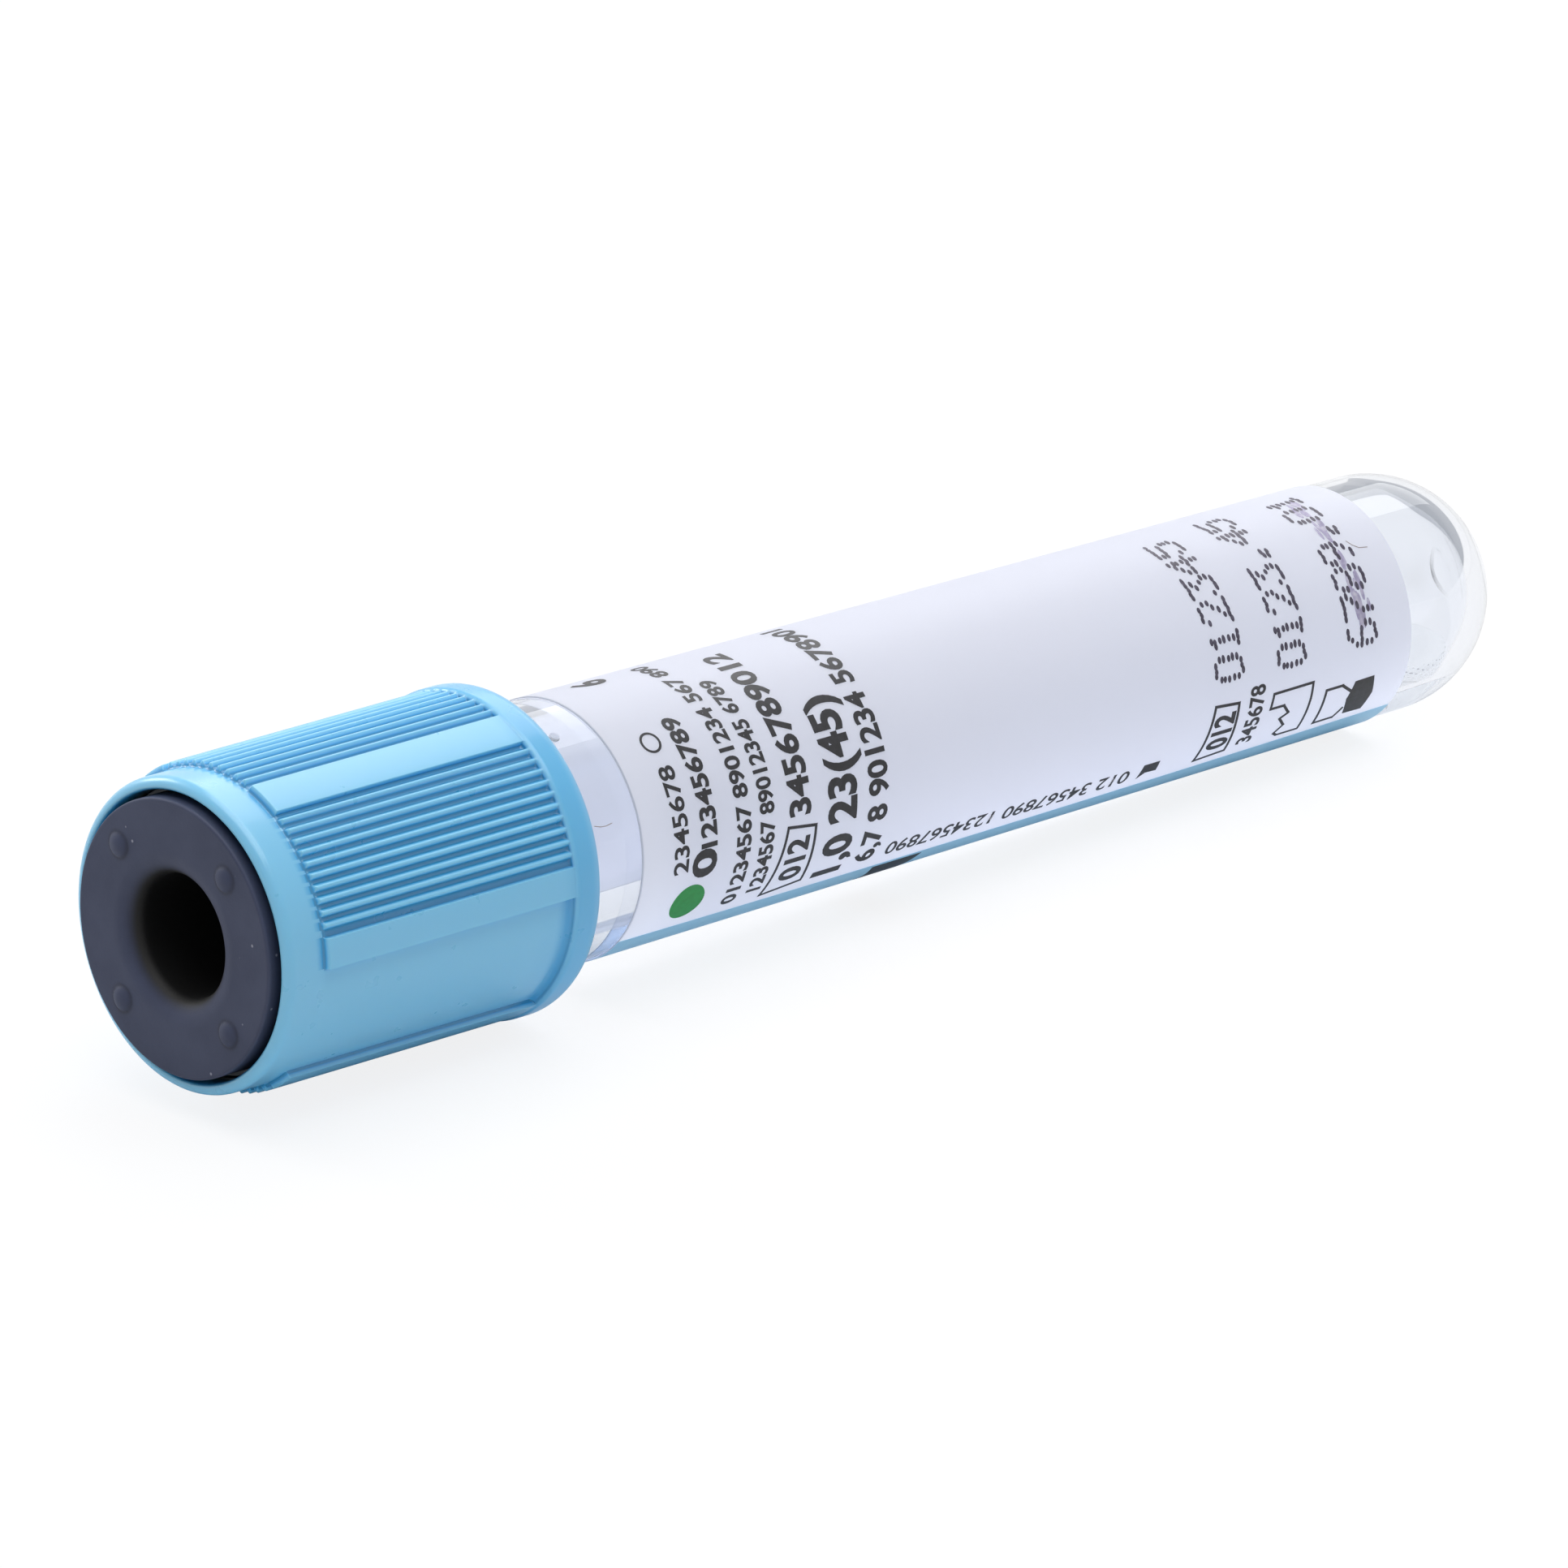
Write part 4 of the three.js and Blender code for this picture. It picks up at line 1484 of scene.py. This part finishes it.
@dataclass
class PrintedLabel:
    """The label film and everything printed on it. Sizes in millimetres and degrees."""

    tube: ClearTube
    start: float = 23.50
    end: float = 74.45
    window_start: float = 262.0
    window: float = 28.0
    gap: float = 0.02
    thickness: float = 0.05
    ink_lift: float = 0.004
    ink_thickness: float = 0.008
    patch_step: float = 2.5  # degrees between points of a curved patch

    def ink_radius(self, x: np.ndarray, layer: float) -> np.ndarray:
        """Radius of the ink at x, on its underside at layer 0 and on its top at layer 1."""
        film = self.tube.radius(x) + self.gap + self.thickness
        return film + self.ink_lift + layer * self.ink_thickness

    def patch(self, x: np.ndarray, angle: np.ndarray, lift: float = 0.0) -> Surface:
        """A thin piece of ink over a grid of (x, angle) places.

        Args:
            x: (rows, columns) places along the tube.
            angle: (rows, columns) places round it.
            lift: extra height, for ink that overlaps other ink.

        Returns:
            The closed surface.
        """
        place = self.tube.space.place
        under = place(x, self.ink_radius(x, 0) + lift, angle)
        top = place(x, self.ink_radius(x, 1) + lift, angle)
        return shell(under, top)

    def bar(self, near: tuple, far: tuple, lift: float = 0.0) -> Surface:
        """A bar between two sides, each ((x, angle), (x, angle)).

        Formula: points between the two sides, at equal steps of about patch_step degrees.

        Args:
            near: the two ends of one side.
            far: the two ends of the other side, in the same order.
            lift: extra height.

        Returns:
            The closed surface.
        """
        near_ends, far_ends = np.array(near, float), np.array(far, float)
        span = np.abs(near_ends[1] - near_ends[0]).max()
        steps = max(2, math.ceil(span / self.patch_step) + 1)
        part = np.linspace(0, 1, steps)[None, :, None]
        across = np.linspace(0, 1, 2)[:, None, None]
        near_line = near_ends[0] + (near_ends[1] - near_ends[0]) * part
        far_line = far_ends[0] + (far_ends[1] - far_ends[0]) * part
        grid = near_line + (far_line - near_line) * across
        return self.patch(grid[..., 0], grid[..., 1], lift)

    def stroke(
        self, points: list[tuple[float, float]], width: float, lift: float = 0.0
    ) -> list[Surface]:
        """Straight strokes of a width from point to point, each ((x, angle)), as a pen draws.

        Args:
            points: the corners, in (x, angle).
            width: in millimetres.
            lift: extra height.

        Returns:
            A bar for each stretch.
        """
        bars = []
        for (x0, a0), (x1, a1) in zip(points, points[1:]):
            radius = self.ink_radius((x0 + x1) / 2, 1)
            mm_per_degree = math.radians(1) * radius
            run, turn = x1 - x0, (a1 - a0) * mm_per_degree
            length = math.hypot(run, turn)
            ux, ua = run / length * width / 2, turn / length * width / 2
            side_x, side_a = -ua, ux / mm_per_degree
            end_x, end_a = ux, ua / mm_per_degree
            near = ((x0 - end_x + side_x, a0 - end_a + side_a), (x1 + end_x + side_x, a1 + end_a + side_a))
            far = ((x0 - end_x - side_x, a0 - end_a - side_a), (x1 + end_x - side_x, a1 + end_a - side_a))
            bars.append(self.bar(near, far, lift))
        return bars

    def spot(
        self, x: float, angle: float, long: float, round_: float, points: int, lift: float = 0.0
    ) -> Surface:
        """A round or oval spot of ink.

        Formula: a grid over a square pulled to a disc by (u sqrt(1 - v2/2), v sqrt(1 - u2/2)).

        Args:
            x: its middle along the tube.
            angle: its middle round it.
            long: half its size along the tube, in millimetres.
            round_: half its size round the tube, in millimetres.
            points: points along a side of the grid.
            lift: extra height.

        Returns:
            The closed surface.
        """
        side = np.linspace(-1, 1, points)
        u, v = np.meshgrid(side, side, indexing="ij")
        along, across = u * np.sqrt(1 - v * v / 2) * long, v * np.sqrt(1 - u * u / 2) * round_
        turn = np.degrees(across / self.ink_radius(x, 1))
        return self.patch(x + along, angle + turn, lift)

    def ring(self, x: float, angle: float, radius: float, width: float, points: int = 40) -> list[Surface]:
        """A thin round ring of ink, drawn as short strokes."""
        turn = np.linspace(0, 2 * np.pi, points + 1)
        mm_per_degree = math.radians(1) * self.ink_radius(x, 1)
        along, around = x + radius * np.cos(turn), angle + radius * np.sin(turn) / mm_per_degree
        middle = (radius + width / 2) / radius
        inside = (radius - width / 2) / radius
        grid_x = np.stack([x + (along - x) * inside, x + (along - x) * middle])
        grid_a = np.stack([angle + (around - angle) * inside, angle + (around - angle) * middle])
        place = self.tube.space.place
        loops = [place(grid_x[:, :-1], self.ink_radius(grid_x[:, :-1], k), grid_a[:, :-1]) for k in (0, 1)]
        section = np.stack([loops[0][0], loops[0][1], loops[1][1], loops[1][0]])
        quads = grid_quads(4, points, True, True)
        return [Surface(section.reshape(-1, 3), quads).facing_out()]

    def film(self) -> tuple[Surface, np.ndarray]:
        """The film: a strip round the tube that stops short of meeting itself.

        Formula: the edge value, which marks where the material paints shade along the film's edge, is
        1 on the strip's outermost points and 0 a tenth of a millimetre further in.

        Returns:
            The closed surface, and each point's edge value.
        """
        length = self.end - self.start
        middle = np.linspace(0.5, length - 0.5, 40)
        x = np.concatenate([[0, 0.07, 0.1], middle, [length - 0.1, length - 0.07, length]])
        x = (self.start + x)[:, None]
        first, last = self.window_start + self.window, self.window_start + 360
        middle = np.arange(first + 2, last - 1, 2.0)
        angle = np.concatenate([[first, first + 0.6], middle, [last - 0.6, last]])[None]
        inner = self.tube.radius(x) + self.gap
        place = self.tube.space.place
        surface = shell(place(x, inner, angle), place(x, inner + self.thickness, angle))
        # painted shade along the film's edge
        edge = np.zeros((len(x), angle.size))
        edge[:2] = 1
        edge[:, [0, -1]] = 1
        return surface, np.tile(edge.ravel(), 2)

    def stripe(self) -> Surface:
        """The light blue field along the label's lower edge, its upper side slightly bowed."""
        x = np.linspace(self.start + 0.02, self.end - 0.02, 30)[:, None]
        part = (x - self.start) / (self.end - self.start)
        upper = 220.9 + 11.2 * part * (1 - part) - 1.5 * part
        down = np.linspace(0, 1, 20)[None]
        angle = upper + (self.window_start - 0.15 - upper) * down
        return self.patch(np.broadcast_to(x, angle.shape), angle)

    def set_numbers(self, text: str, length: float, scale: float, bold: float) -> tuple[np.ndarray, list]:
        """The flat mesh of a row of plain numbers.

        Formula: across is a text's own x over its whole width, from 0 to 1, and up is its own
        y times the scale. Cuts every third of a millimetre let the row bend.

        Args:
            text: what to set.
            length: how long the row is, in millimetres.
            scale: millimetres for a unit of the text's own height.
            bold: how much each stroke is thickened, in millimetres.

        Returns:
            (across, up, layer) of each point, and the faces.
        """
        curve = bpy.data.curves.new("number_row", "FONT")
        curve.body = text
        curve.extrude = 0.5
        curve.resolution_u = 4
        holder = bpy.data.objects.new("number_row", curve)
        bpy.context.scene.collection.objects.link(holder)
        bpy.context.view_layer.update()
        plain = np.array([corner[:] for corner in holder.bound_box])
        curve.offset = bold / scale
        bpy.context.view_layer.update()
        ready = holder.evaluated_get(bpy.context.evaluated_depsgraph_get())
        mesh = bpy.data.meshes.new_from_object(ready)
        bpy.data.objects.remove(holder)
        body = bmesh.new()
        body.from_mesh(mesh)
        bpy.data.meshes.remove(mesh)
        bmesh.ops.remove_doubles(body, verts=body.verts, dist=1e-4)
        left, right = plain[:, 0].min(), plain[:, 0].max()
        for cut in np.arange(left, right, 0.33 * (right - left) / length):
            bmesh.ops.bisect_plane(
                body,
                geom=body.verts[:] + body.edges[:] + body.faces[:],
                plane_co=(float(cut), 0, 0),
                plane_no=(1, 0, 0),
            )
        flat = np.array([vertex.co[:] for vertex in body.verts])
        body.verts.ensure_lookup_table()
        faces = [[vertex.index for vertex in face.verts] for face in body.faces]
        body.free()
        across, layer = (flat[:, 0] - left) / (right - left), (flat[:, 2] > 0).astype(float)
        return np.stack([across, flat[:, 1] * scale, layer], axis=-1), faces

    def numbers(self, row: NumberRow) -> tuple[np.ndarray, list]:
        """A row of plain numbers that runs round the tube.

        Formula: across runs from the row's start angle to its end angle, and up runs towards
        the stopper.
        """
        length = math.radians(row.start - row.end) * self.ink_radius(row.x, 1)
        flat, faces = self.set_numbers(row.text, length, row.height / FIGURE_HEIGHT, row.bold)
        angle = row.start - flat[:, 0] * (row.start - row.end)
        x = row.x + row.height / 2 - flat[:, 1]
        return self.tube.space.place(x, self.ink_radius(x, flat[:, 2]), angle), faces

    def lengthwise_numbers(self, row: LengthwiseRow) -> tuple[np.ndarray, list]:
        """A row of plain numbers along the tube.

        Formula: across runs from the row's start to its end, and up turns about the axis by
        its length over the radius.
        """
        flat, faces = self.set_numbers(
            row.text, row.start - row.end, row.height / FIGURE_HEIGHT, row.bold
        )
        x = row.start - flat[:, 0] * (row.start - row.end)
        foot = row.angle + flat[:, 0] * (row.end_angle - row.angle)
        angle = foot + np.degrees(flat[:, 1] / self.ink_radius(x, 1))
        return self.tube.space.place(x, self.ink_radius(x, flat[:, 2]), angle), faces

    def dots(self, row: NumberRow, grow: float = 1.0, shift: float = 0.0) -> list[Surface]:
        """A row of a dot printer's numerals, each dot a short dash.

        Args:
            row: what to set and where.
            grow: how much longer than usual the dashes are.
            shift: how far they are displaced along the tube, in millimetres.

        Returns:
            A spot for each dot.
        """
        uneven = np.random.default_rng(7)
        pitch = (row.start - row.end) / len(row.text)
        dot_pitch = pitch * 0.72 / 4
        line = row.height / 6
        spots = []
        for place, numeral in enumerate(row.text):
            for down, bits in enumerate(DOT_NUMERALS[numeral]):
                for across in range(5):
                    wobble = uneven.normal(0, 1, 3)
                    if not bits >> (4 - across) & 1:
                        continue
                    angle = row.start - place * pitch - (across + 0.35) * dot_pitch
                    x = row.x - row.height / 2 + down * line + shift
                    spots.append(
                        self.spot(
                            x + 0.03 * wobble[0],
                            angle + 0.25 * wobble[1],
                            0.11 * grow,
                            (0.19 + 0.02 * wobble[2]) * grow,
                            4,
                        )
                    )
        return spots

    def smears(self) -> list[Surface]:
        """Pale streaks that the last row's ink left when it was rubbed before it was dry."""
        uneven = np.random.default_rng(11)
        spots = []
        for x, angle in SMEARS:
            for wobble in uneven.normal(0, 1, (5, 3)):
                spots.append(
                    self.spot(
                        x + 0.22 * wobble[0],
                        angle + 1.1 * wobble[1],
                        0.09 + 0.02 * abs(wobble[2]),
                        0.42 + 0.12 * wobble[2],
                        6,
                        lift=-0.003,
                    )
                )
        return spots

    def hairs(self) -> list[Surface]:
        """Two short fine hairs, one on the clear wall and one on the label's end."""
        on_wall = [(20.9, 157.0), (21.25, 158.0), (21.6, 158.2), (21.95, 157.7)]
        on_film = [(72.1, 126.4), (72.3, 129.2), (72.6, 131.4), (73.1, 132.2)]
        low = -self.gap - self.thickness
        strokes = self.stroke(on_wall, 0.035, low) + self.stroke(on_film, 0.035, 0.004)
        return strokes

    def black_shapes(self) -> list[Surface]:
        """Plain boxes, bars and marks in black."""
        shapes: list[Surface] = []
        near_box = [(32.3, 217.4), (34.8, 214.6), (34.7, 184.2), (32.9, 182.0), (32.3, 217.4)]
        far_box = [(60.9, 216.4), (62.9, 215.0), (62.8, 187.0), (61.2, 185.6), (60.9, 216.4)]
        for box in (near_box, far_box):
            shapes += self.stroke(box, 0.16)
        notched = [
            (65.13, 195.8), (65.19, 187.9), (67.85, 187.8), (67.9, 196.3), (67.89, 215.6),
            (66.46, 215.6), (66.14, 213.5), (66.54, 208.7), (66.04, 203.5), (66.53, 201.0),
            (66.05, 195.9), (65.13, 195.8),
        ]
        shapes += self.stroke(notched, 0.15)
        waisted = [
            (70.75, 199.5), (70.03, 194.7), (68.93, 194.7), (68.94, 215.2), (70.27, 215.0), (70.62, 209.8),
        ]
        shapes += self.stroke(waisted, 0.16)
        shapes.append(self.bar(((70.9, 194.4), (70.62, 204.2)), ((72.18, 194.1), (72.42, 204.2))))
        shapes.append(self.bar(((70.62, 204.1), (70.9, 214.5)), ((72.42, 204.1), (72.19, 214.9)), 0.001))
        shapes.append(self.bar(((57.13, 207.6), (57.05, 216.8)), ((57.6, 207.6), (57.45, 213.6))))
        shapes.append(self.bar(((57.62, 207.6), (57.47, 213.4)), ((58.19, 207.6), (58.22, 213.9))))
        return shapes

    def build(self) -> None:
        """Makes the film and every ink."""
        strip, edge = self.film()
        film = make_piece("label_film", strip, LabelFilm().material(), sharp=30, values={"edge": edge})
        belongs(film, Body.TUBE, Slot.LABEL_FILM, "label")
        stripe = make_piece("label_stripe", self.stripe(), BLUE_INK.material(), sharp=30)
        belongs(stripe, Body.TUBE, Slot.LABEL_FILM)
        shapes = self.black_shapes()
        shapes += self.ring(26.0, 129.0, 0.52, 0.13)
        mark = self.bar(((40.2, 224.8), (41.0, 261.6)), ((43.4, 224.8), (42.6, 261.6)), lift=0.01)
        shapes.append(mark)
        black = joined(shapes)
        piece = make_piece("label_shapes", black, BLACK_INK.material(), sharp=30)
        belongs(piece, Body.TUBE, Slot.LABEL_FILM)
        self.build_numbers()
        surfaces = {
            "label_green_round": (self.spot(27.0, 205.5, 1.05, 1.05, 11), GREEN_INK),
            "label_dot_numbers": (joined([dot for row in DOT_ROWS for dot in self.dots(row)]), DOT_INK),
            "label_smears": (joined(self.smears()), SMEARED_INK),
            "fallen_hairs": (joined(self.hairs()), HAIR),
        }
        for name, (surface, ink) in surfaces.items():
            piece = make_piece(name, surface, ink.material(), sharp=30)
            belongs(piece, Body.TUBE, Slot.LABEL_FILM)

    def build_numbers(self) -> None:
        """Makes the rows of plain numbers as one piece."""
        points: list[np.ndarray] = []
        faces: list[list[int]] = []
        rows = [self.numbers(row) for row in NUMBER_ROWS]
        rows.append(self.lengthwise_numbers(LENGTHWISE_ROW))
        for places, corners in rows:
            start = sum(len(block) for block in points)
            points.append(places)
            faces += [[start + index for index in corner] for corner in corners]
        mesh = bpy.data.meshes.new("label_numbers")
        mesh.from_pydata(np.vstack(points).tolist(), [], faces)
        tidy = bmesh.new()
        tidy.from_mesh(mesh)
        bmesh.ops.recalc_face_normals(tidy, faces=tidy.faces)
        tidy.to_mesh(mesh)
        tidy.free()
        mesh.materials.append(BLACK_INK.material())
        piece = bpy.data.objects.new("label_numbers", mesh)
        bpy.context.scene.collection.objects.link(piece)
        belongs(piece, Body.TUBE, Slot.LABEL_FILM)


# ------------------------------------------------------------------ studio


@dataclass(frozen=True)
class SoftBox:
    """A square or oblong soft lamp that looks at the object.

    Attributes:
        name: the lamp's name.
        azimuth: direction that it stands in, in degrees, 0 at -Y and 90 at +X.
        elevation: its height angle in degrees.
        distance: from the object, in metres.
        size: (width, height) in metres.
        power: in watts.
    """

    name: str
    azimuth: float
    elevation: float
    distance: float
    size: tuple[float, float]
    power: float

    def build(self, aim: Vector) -> None:
        """Hangs the lamp."""
        lamp = bpy.data.lights.new(self.name, "AREA")
        lamp.shape = "RECTANGLE"
        lamp.size, lamp.size_y = self.size
        lamp.energy = self.power
        holder = bpy.data.objects.new(self.name, lamp)
        bpy.context.scene.collection.objects.link(holder)
        away = view_direction(self.azimuth, self.elevation)
        holder.location = aim + away * self.distance
        holder.rotation_euler = away.to_track_quat("Z", "Y").to_euler()
        holder.visible_transmission = False


def view_direction(azimuth: float, elevation: float) -> Vector:
    """Unit vector from the object towards a viewer at that azimuth and elevation in degrees."""
    turn, rise = math.radians(azimuth), math.radians(elevation)
    return Vector((math.sin(turn) * math.cos(rise), -math.cos(turn) * math.cos(rise), math.sin(rise)))


@dataclass
class Studio:
    """White table, soft light and camera."""

    aim: Vector
    azimuth: float = -42.49
    elevation: float = 21.65
    distance: float = 0.8486
    lens: float = 408.0
    sensor_width: float = 36.0
    clip_start: float = 0.05
    table: float = 4.0
    table_grey: float = 0.9
    glow_share: float = 0.82  # of the table's look to the eye, where the rest keeps the shadow
    world_level: float = 0.2
    through_glass: float = 0.46  # the room as rays that bend in the clear wall meet it
    table_white: float = 1.05
    glass_dims: float = -0.06  # added to the table's white for those rays
    lamps: tuple[SoftBox, ...] = (
        SoftBox("overhead_soft_box", 0, 88, 0.7, (0.8, 0.8), 4.4),
        SoftBox("back_soft_box", 126, 42, 0.7, (0.5, 0.5), 1.2),
        SoftBox("left_soft_box", -168, 25, 0.6, (0.2, 0.2), 0.8),
    )

    def build(self) -> None:
        """Makes the camera, the table, the surroundings and the lamps."""
        self.hang_camera()
        self.lay_table()
        self.light_surroundings()
        for lamp in self.lamps:
            lamp.build(self.aim)

    def hang_camera(self) -> None:
        """Sets the camera at the viewing angle, with no depth of field."""
        camera = bpy.data.cameras.new("camera")
        camera.lens = self.lens
        camera.sensor_width = self.sensor_width
        camera.clip_start = self.clip_start
        holder = bpy.data.objects.new("camera", camera)
        bpy.context.scene.collection.objects.link(holder)
        away = view_direction(self.azimuth, self.elevation)
        holder.location = self.aim + away * self.distance
        holder.rotation_euler = away.to_track_quat("Z", "Y").to_euler()
        bpy.context.scene.camera = holder

    def lay_table(self) -> None:
        """Lays the white table, which keeps a faint shadow."""
        half = self.table / 2
        mesh = bpy.data.meshes.new("table")
        corners = [(-half, -half, 0), (half, -half, 0), (half, half, 0), (-half, half, 0)]
        mesh.from_pydata(corners, [], [(0, 1, 2, 3)])
        made, tree = new_material("white_table")
        lit = add_node(tree, "ShaderNodeBsdfDiffuse", {"Color": (*[self.table_grey] * 3, 1)})
        path = add_node(tree, "ShaderNodeLightPath")
        level = add_node(
            tree,
            "ShaderNodeMath",
            {0: path.outputs["Is Transmission Ray"], 1: self.glass_dims, 2: self.table_white},
            operation="MULTIPLY_ADD",
        )
        glow = add_node(
            tree, "ShaderNodeEmission", {"Color": (0.985, 0.99, 1, 1), "Strength": level.outputs[0]}
        )
        seen = add_node(
            tree,
            "ShaderNodeMath",
            {0: path.outputs["Is Camera Ray"], 1: path.outputs["Is Transmission Ray"]},
            operation="MAXIMUM",
        )
        share = add_node(
            tree, "ShaderNodeMath", {0: seen.outputs[0], 1: self.glow_share}, operation="MULTIPLY"
        )
        mixed = add_node(
            tree,
            "ShaderNodeMixShader",
            {0: share.outputs[0], 1: lit.outputs[0], 2: glow.outputs[0]},
        )
        add_node(tree, "ShaderNodeOutputMaterial", {"Surface": mixed.outputs[0]})
        mesh.materials.append(made)
        table = bpy.data.objects.new("table", mesh)
        bpy.context.scene.collection.objects.link(table)

    def light_surroundings(self) -> None:
        """Lights the world softly, white to the eye and to gloss, a little grey through glass."""
        world = bpy.data.worlds.new("studio")
        bpy.context.scene.world = world
        world.use_nodes = True
        tree = world.node_tree
        tree.nodes.clear()
        soft_tint = (0.97, 0.98, 1.0, 1)
        path = add_node(tree, "ShaderNodeLightPath")
        seen = add_node(
            tree,
            "ShaderNodeMath",
            {0: path.outputs["Is Camera Ray"], 1: path.outputs["Is Glossy Ray"]},
            operation="MAXIMUM",
        )
        far_tint = (0.86, 0.91, 1.0, 1)
        levels = [(self.world_level, soft_tint), (self.through_glass, far_tint), (1.0, (1, 1, 1, 1))]
        soft, behind, white = (
            add_node(tree, "ShaderNodeBackground", {"Color": tint, "Strength": level}).outputs[0]
            for level, tint in levels
        )
        bright = add_node(tree, "ShaderNodeMixShader", {0: seen.outputs[0], 1: soft, 2: white})
        through = path.outputs["Is Transmission Ray"]
        mixed = add_node(tree, "ShaderNodeMixShader", {0: through, 1: bright.outputs[0], 2: behind})
        add_node(tree, "ShaderNodeOutputWorld", {"Surface": mixed.outputs[0]})


# ------------------------------------------------------------------ the whole

FLANGE_TREAD = 18.90  # where the flange's widest band ends, in millimetres along the tube
AIM = (-0.00293, 0.0, 0.00623)  # the point that the camera and the lamps look at, in metres


def main() -> None:
    """Builds the studio and every piece in order."""
    logging.basicConfig(level=logging.INFO, format="%(name)s: %(message)s")
    bpy.context.scene.view_settings.view_transform = "Standard"
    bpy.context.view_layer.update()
    space = TubeFrame.of_packed_part(frame, FLANGE_TREAD)
    Studio(aim=Vector(AIM)).build()
    tube = ClearTube(space)
    tube.build(ClearPolyester().material())
    liquid = ClearSolution().material()
    Solution(tube).build(liquid)
    Droplet(tube).build(liquid)
    Stopper(tube).build(ButylRubber().material())
    SafetyCap(space).build(PigmentedPolyethylene().material())
    PrintedLabel(tube).build()


if __name__ == "__main__":
    main()
